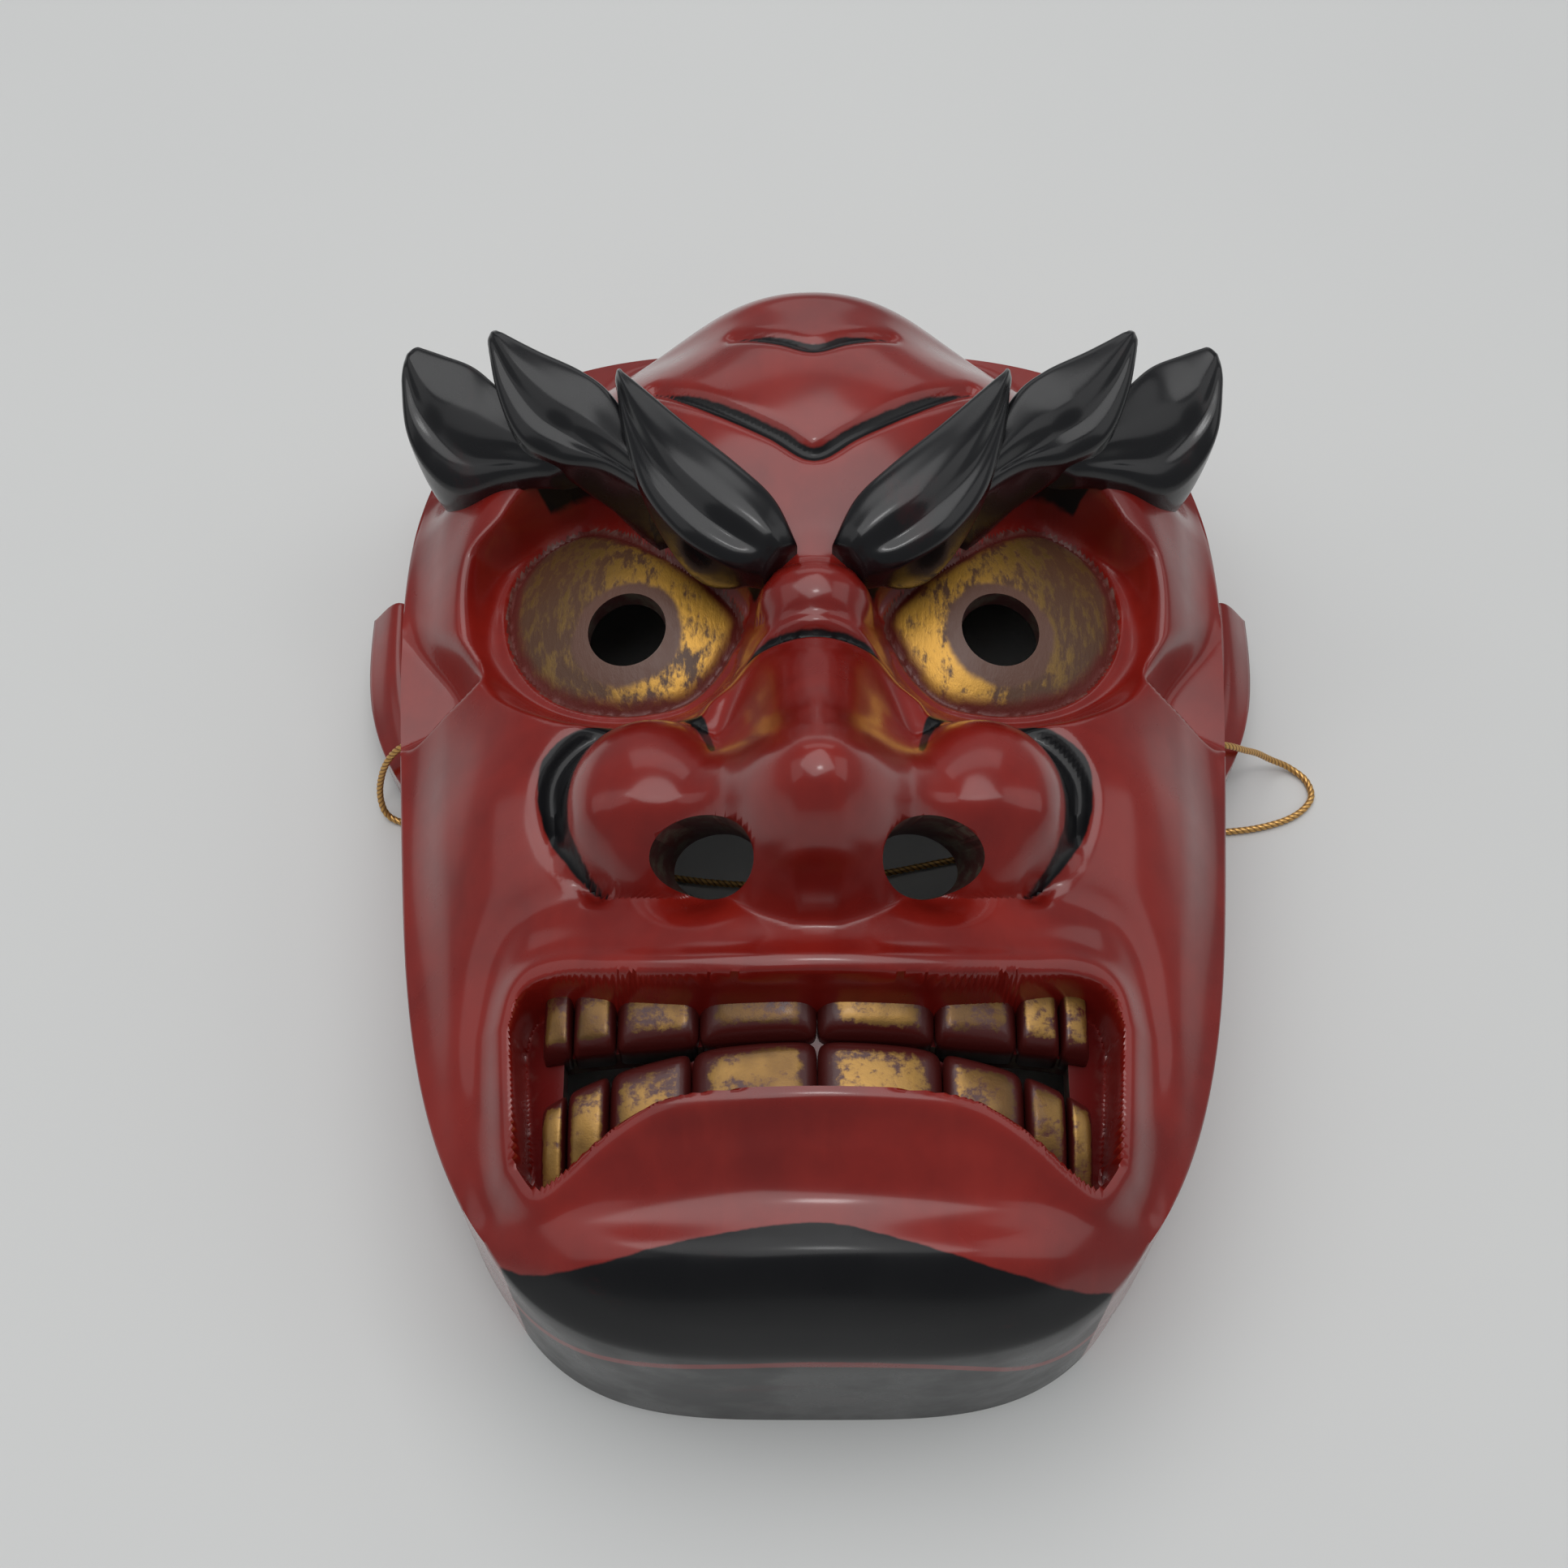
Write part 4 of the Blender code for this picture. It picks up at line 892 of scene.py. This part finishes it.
# %% [markdown]
# ## Finishes
# Lacquer is a coloured body under a hard clear coat. Its gloss comes from the coat,
# and the life in it from small things: brush streaks in the colour, faint ripples in the surface,
# dust in the creases, gold that has rubbed off to the brown ground.


# %% A small node writer
class Nodes:
    """Writes a node tree: each call adds one node and returns its first output."""

    def __init__(self, name, **constants):
        self.material = bpy.data.materials.new(name)
        self.material.use_nodes = True
        self.tree = self.material.node_tree
        self.shader = self.tree.nodes["Principled BSDF"]
        for socket, value in constants.items():
            self.shader.inputs[socket.replace("_", " ")].default_value = value
        self.place = self.tree.nodes.new("ShaderNodeTexCoord").outputs["Object"]

    def add(self, kind, inputs, **settings):
        node = self.tree.nodes.new(kind)
        for key, value in settings.items():
            setattr(node, key, value)
        for key, value in inputs.items():
            if isinstance(value, bpy.types.NodeSocket):
                self.tree.links.new(value, node.inputs[key])
            else:
                node.inputs[key].default_value = value
        return node

    def attribute(self, name):
        return self.add("ShaderNodeAttribute", {}, attribute_name=name).outputs["Fac"]

    def noise(self, scale, detail=4.0, rough=0.55, stretch=(1, 1, 1), turn=(0, 0, 0)):
        place = self.add("ShaderNodeMapping", {"Vector": self.place, "Scale": stretch, "Rotation": turn})
        node = self.add("ShaderNodeTexNoise", {"Vector": place.outputs[0], "Scale": scale, "Detail": detail,
                                               "Roughness": rough})
        return node.outputs["Fac"]

    def math(self, operation, a, b=0.0):
        return self.add("ShaderNodeMath", {0: a, 1: b}, operation=operation).outputs[0]

    def span(self, value, low, high, to_low=0.0, to_high=1.0, smooth=True):
        """Carry a value from one span to another, clamped, with a soft start and end."""
        kind = "SMOOTHSTEP" if smooth else "LINEAR"
        node = self.add("ShaderNodeMapRange", {"Value": value, "From Min": low, "From Max": high,
                                               "To Min": to_low, "To Max": to_high}, interpolation_type=kind)
        return node.outputs[0]

    def mix(self, share, a, b):
        node = self.tree.nodes.new("ShaderNodeMix")
        node.data_type = "RGBA"
        for index, value in ((0, share), (6, a), (7, b)):
            if isinstance(value, bpy.types.NodeSocket):
                self.tree.links.new(value, node.inputs[index])
            else:
                node.inputs[index].default_value = (*value, 1.0) if index else value
        return node.outputs[2]

    def put(self, **sockets):
        for socket, value in sockets.items():
            self.tree.links.new(value, self.shader.inputs[socket.replace("_", " ")])

    def relief(self, height, distance, strength=1.0):
        bump_node = self.add("ShaderNodeBump", {"Height": height, "Distance": distance, "Strength": strength})
        self.put(Normal=bump_node.outputs["Normal"])


# %% Red and black lacquer of the mask
def lacquer_material():
    """Red body, crimson where it is thick, black where painted, black painted shade under the brow locks, a
    darker painted shade in the recess of the mouth, gold tint by the bridge of the nose.
    """
    n = Nodes("red_and_black_lacquer", Coat_Roughness=0.16, Specular_IOR_Level=0.2)
    waver = n.span(n.noise(260, 3), 0, 1, -0.35, 0.35, False)
    tone = n.noise(28, 5, 0.6)
    red = n.mix(n.span(tone, 0.3, 0.7), (0.150, 0.0055, 0.0035), (0.235, 0.0110, 0.0065))
    streak = n.noise(90, 4, 0.6, (1.0, 0.25, 0.5))
    red = n.mix(n.span(streak, 0.45, 0.8, 0, 0.35), red, (0.28, 0.018, 0.010))
    # Painted shade: the recess of the mouth is darkened to a dull deep red
    mouth = n.math("ADD", n.attribute("mouth_gap"), waver)
    red = n.mix(n.span(mouth, -3.0, -1.0, 0.75, 0.0), red, (0.065, 0.004, 0.005))
    # Gold tint rubbed beside the nose
    patch = n.math("ADD", n.attribute("gold_patch"), n.span(n.noise(160, 5, 0.7), 0.2, 0.8, -3, 3, False))
    gold = n.span(patch, 0.0, -3.5, 0, 0.22)
    red = n.mix(gold, red, (0.26, 0.10, 0.02))
    # Black paint on folds, crescents and beard, and black painted shade under the brow locks, worn to dark
    # red on the chin
    black_gap = n.math("ADD", n.attribute("black"), waver)
    black_share = n.span(black_gap, 0.25, -0.25)
    wear = n.span(n.noise(55, 5, 0.65, (0.35, 1, 1)), 0.60, 0.78, 0, 0.7)
    black = n.mix(wear, (0.004, 0.004, 0.005), (0.045, 0.003, 0.004))
    colour = n.mix(black_share, red, black)
    line = n.span(n.math("ABSOLUTE", n.math("ADD", n.attribute("chin_line"), waver)), 1.9, 1.2)
    colour = n.mix(line, colour, (0.22, 0.020, 0.016))
    dusty = n.math("MULTIPLY", n.attribute("dust"), n.span(n.noise(420, 3), 0.45, 0.7))
    colour = n.mix(n.math("MULTIPLY", dusty, 0.35), colour, (0.20, 0.12, 0.10))
    rough = n.span(n.noise(70, 4), 0.3, 0.7, 0.26, 0.40)
    # The clear coat is thin in the mouth and on the black
    coat = n.span(mouth, -3.5, -1.0, 0.25, 0.9)
    coat = n.math("SUBTRACT", coat, n.math("MULTIPLY", black_share, 0.65))
    n.put(Base_Color=colour, Roughness=rough, Metallic=n.math("MULTIPLY", gold, 0.5), Coat_Weight=coat)
    ripple = n.math("ADD", n.noise(55, 2), n.math("MULTIPLY", n.noise(700, 2), 0.04))
    n.relief(ripple, 0.00018, 0.5)
    return n.material


def black_lacquer_material():
    """Deep black with a breath of dark red wear and a hard gloss."""
    n = Nodes("black_lacquer", Coat_Weight=0.7, Coat_Roughness=0.17, Specular_IOR_Level=0.15)
    wear = n.span(n.noise(75, 5, 0.65, (1, 0.5, 1)), 0.58, 0.80, 0, 0.6)
    colour = n.mix(wear, (0.0045, 0.0045, 0.0055), (0.035, 0.004, 0.005))
    n.put(Base_Color=colour, Roughness=n.span(n.noise(90, 4), 0.3, 0.7, 0.22, 0.36))
    n.relief(n.noise(80, 3), 0.00014, 0.5)
    return n.material


def gold_eye_material():
    """Gold leaf brushed outwards over a brown ground, bright beside the nose, with a mauve ring
    round the hole and a dark red margin."""
    n = Nodes("worn_gold_eye", Coat_Weight=0.2, Coat_Roughness=0.3, IOR=1.45)
    streaks = n.noise(150, 6, 0.72, (1.0, 0.22, 1.0), (0, 0, 0.5))
    flecks = n.noise(520, 4, 0.7, (1.0, 0.4, 1.0), (0, 0, 0.35))
    worn = n.math("ADD", n.math("MULTIPLY", streaks, 0.55), n.math("MULTIPLY", flecks, 0.45))
    sideways = n.attribute("eye_side")
    worn = n.math("ADD", worn, n.span(sideways, 0.2, 1.0, 0.06, -0.05, False))
    leaf = n.span(worn, 0.45, 0.57)
    gold = n.mix(n.span(sideways, 0.2, 0.75), (0.58, 0.31, 0.05), (0.20, 0.115, 0.035))
    colour = n.mix(leaf, (0.075, 0.030, 0.012), gold)
    ring = n.span(n.math("ADD", n.attribute("pupil"), n.span(n.noise(180, 4), 0, 1, -1.2, 1.2, False)),
                  12.3, 10.8)
    colour = n.mix(ring, colour, (0.10, 0.042, 0.026))
    margin = n.math("ADD", n.attribute("eye_gap"), n.span(n.noise(140, 4), 0, 1, -1.4, 1.4, False))
    red_margin = n.span(margin, -4.6, -1.8)
    colour = n.mix(red_margin, colour, (0.10, 0.010, 0.006))
    dusty = n.math("MULTIPLY", n.attribute("dust"), n.span(n.noise(420, 3), 0.4, 0.65))
    colour = n.mix(n.math("MULTIPLY", dusty, 0.6), colour, (0.24, 0.17, 0.14))
    covered = n.math("SUBTRACT", 1.0, n.math("MAXIMUM", ring, red_margin))
    metal = n.math("MULTIPLY", n.math("MULTIPLY", leaf, covered), 0.7)
    n.put(Base_Color=colour, Metallic=metal, Roughness=n.span(leaf, 0, 1, 0.6, 0.5, False))
    n.relief(worn, 0.0006, 0.8)
    return n.material


def gold_tooth_material():
    """Gold on the front of each tooth, worn to dark red along its edges."""
    n = Nodes("worn_gold_tooth", Coat_Weight=0.25, Coat_Roughness=0.18, IOR=1.45)
    worn = n.math("ADD", n.math("MULTIPLY", n.noise(130, 6, 0.7, (0.45, 1, 1)), 0.6),
                  n.math("MULTIPLY", n.noise(600, 4, 0.7), 0.4))
    edge = n.attribute("edge")
    gold = n.span(n.math("SUBTRACT", worn, n.span(edge, 0.60, 0.98, 0, 0.32)), 0.40, 0.52)
    colour = n.mix(n.span(n.noise(45, 3), 0.4, 0.65), (0.13, 0.065, 0.02), (0.34, 0.19, 0.05))
    colour = n.mix(gold, (0.060, 0.007, 0.006), colour)
    n.put(Base_Color=colour, Metallic=n.math("MULTIPLY", gold, 0.8),
          Roughness=n.span(gold, 0, 1, 0.34, 0.42, False))
    n.relief(worn, 0.0003, 0.6)
    return n.material


def shaded_bore_material():
    """The walls of the holes: dark red run-in lacquer, darker still as painted shade, with grey-green dust.
    """
    n = Nodes("dusty_shaded_hole_wall", Coat_Weight=0.2, Coat_Roughness=0.3)
    # Painted shade: the hole walls are a far darker red than the lacquer outside
    colour = n.mix(n.span(n.noise(240, 5, 0.7), 0.42, 0.66), (0.055, 0.012, 0.010), (0.085, 0.070, 0.048))
    n.put(Base_Color=colour, Roughness=n.span(n.noise(120, 3), 0, 1, 0.5, 0.8, False))
    n.relief(n.noise(420, 4), 0.0003, 0.6)
    return n.material


def inside_material():
    """Bare wood behind the face, stained brown, with gouge marks and grain along the mask."""
    n = Nodes("stained_wood_inside", Coat_Weight=0.1, Coat_Roughness=0.35)
    grain = n.noise(120, 6, 0.65, (1.0, 0.06, 1.0))
    colour = n.mix(n.span(grain, 0.35, 0.65), (0.060, 0.028, 0.014), (0.14, 0.075, 0.038))
    n.put(Base_Color=colour, Roughness=n.span(grain, 0.3, 0.7, 0.5, 0.7))
    gouge = n.add("ShaderNodeTexVoronoi", {"Vector": n.add("ShaderNodeMapping", {
        "Vector": n.place, "Scale": (1.0, 0.45, 1.0)}).outputs[0], "Scale": 110.0}, feature="SMOOTH_F1")
    n.relief(n.math("ADD", gouge.outputs["Distance"], n.math("MULTIPLY", grain, 0.2)), 0.0008, 0.6)
    return n.material


def gold_cord_material():
    """Gold-wrapped thread: painted shade darkens the valleys between plies, with fine windings across."""
    n = Nodes("gold_thread", Coat_Weight=0.0)
    ply = n.attribute("ply")
    # Painted shade: the gold turns dark brown in the valleys between the plies
    colour = n.mix(n.span(ply, 0.80, 0.97), (0.16, 0.07, 0.02), (0.66, 0.38, 0.12))
    n.put(Base_Color=colour, Metallic=n.span(ply, 0.8, 1.0, 0.4, 0.8),
          Roughness=n.span(ply, 0.8, 1.0, 0.55, 0.33))
    n.relief(n.noise(3500, 2), 0.00006, 0.6)
    return n.material


# %% Put the finishes on
mask_finishes = [lacquer_material(), gold_eye_material(), shaded_bore_material(), inside_material()]
mask.data.materials.clear()
for material in mask_finishes:
    mask.data.materials.append(material)
mask.data.polygons.foreach_set("material_index", finish.astype(np.int32))
mask.data.shade_smooth()
mask.data.set_sharp_from_angle(angle=math.radians(50))
black_lacquer, gold_tooth, gold_cord = black_lacquer_material(), gold_tooth_material(), gold_cord_material()
for lock in locks:
    lock.data.materials.append(black_lacquer)
    lock.data.set_sharp_from_angle(angle=math.radians(60))
for piece in ears:
    piece.data.materials.append(mask_finishes[LACQUER])
for row in tooth_rows:
    row.data.materials.append(gold_tooth)
for piece in [hanging_cord, *knots]:
    piece.data.materials.append(gold_cord)

# The ears share the mask's lacquer, so they carry its paint fields too, all of them clear of paint
for piece in ears:
    for name, value in (("black", 20), ("mouth_gap", 20), ("gold_patch", 20), ("chin_line", 20),
                        ("dust", 0)):
        set_attribute(piece.data, name, np.full(len(piece.data.vertices), value))

# %% [markdown]
# ## Table and light
# The table is a plain pale sheet. The light is a broad soft ceiling with one small lamp in it, which
# makes the sharp glints on the lacquer. Two weak fills stand left and right, and a weak window lies
# beyond the forehead.

# %% Stage
# Name, place, target, size and power of each lamp
LAMPS = (("ceiling", (-0.1, 0.15, 1.6), (0, 0, 0), (1.9, 1.9), 20),
         ("lamp", (0.05, -0.2, 1.5), (0, 0, 0.05), (0.28, 0.22), 1.6),
         ("left fill", (-1.6, 0.0, 1.2), (0, 0, 0.05), (1.6, 1.2), 3),
         ("right fill", (1.6, 0.1, 1.2), (0, 0, 0.05), (1.6, 1.2), 4),
         ("window", (0.0, 1.6, 0.9), (0, 0, 0.08), (1.6, 0.6), 2))
table = new_piece("table", [(-3, -3, 0), (3, -3, 0), (3, 3, 0), (-3, 3, 0)], [np.array([[0, 1, 2, 3]])])
table_nodes = Nodes("pale_table", Roughness=0.6)
table_colour = table_nodes.mix(table_nodes.noise(6, 3), (0.60, 0.605, 0.60), (0.63, 0.635, 0.625))
table_nodes.put(Base_Color=table_colour)
table.data.materials.append(table_nodes.material)
for name, place, target, size, power in LAMPS:
    lamp = bpy.data.lights.new(name, "AREA")
    lamp.shape = "RECTANGLE"
    lamp.size, lamp.size_y = size
    lamp.energy = power
    holder = bpy.data.objects.new(name, lamp)
    holder.location = place
    holder.rotation_euler = (Vector(target) - Vector(place)).to_track_quat("-Z", "Y").to_euler()
    bpy.context.scene.collection.objects.link(holder)
world = bpy.data.worlds.new("room")
bpy.context.scene.world = world
world.use_nodes = True
world.node_tree.nodes["Background"].inputs["Color"].default_value = (0.62, 0.64, 0.66, 1)
world.node_tree.nodes["Background"].inputs["Strength"].default_value = 0.36
bpy.context.scene.view_settings.view_transform = "Standard"

# %% Hand the pieces over
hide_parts("mask")
for piece in [mask, *locks, *ears, *tooth_rows, hanging_cord, *knots]:
    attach(piece, "root")
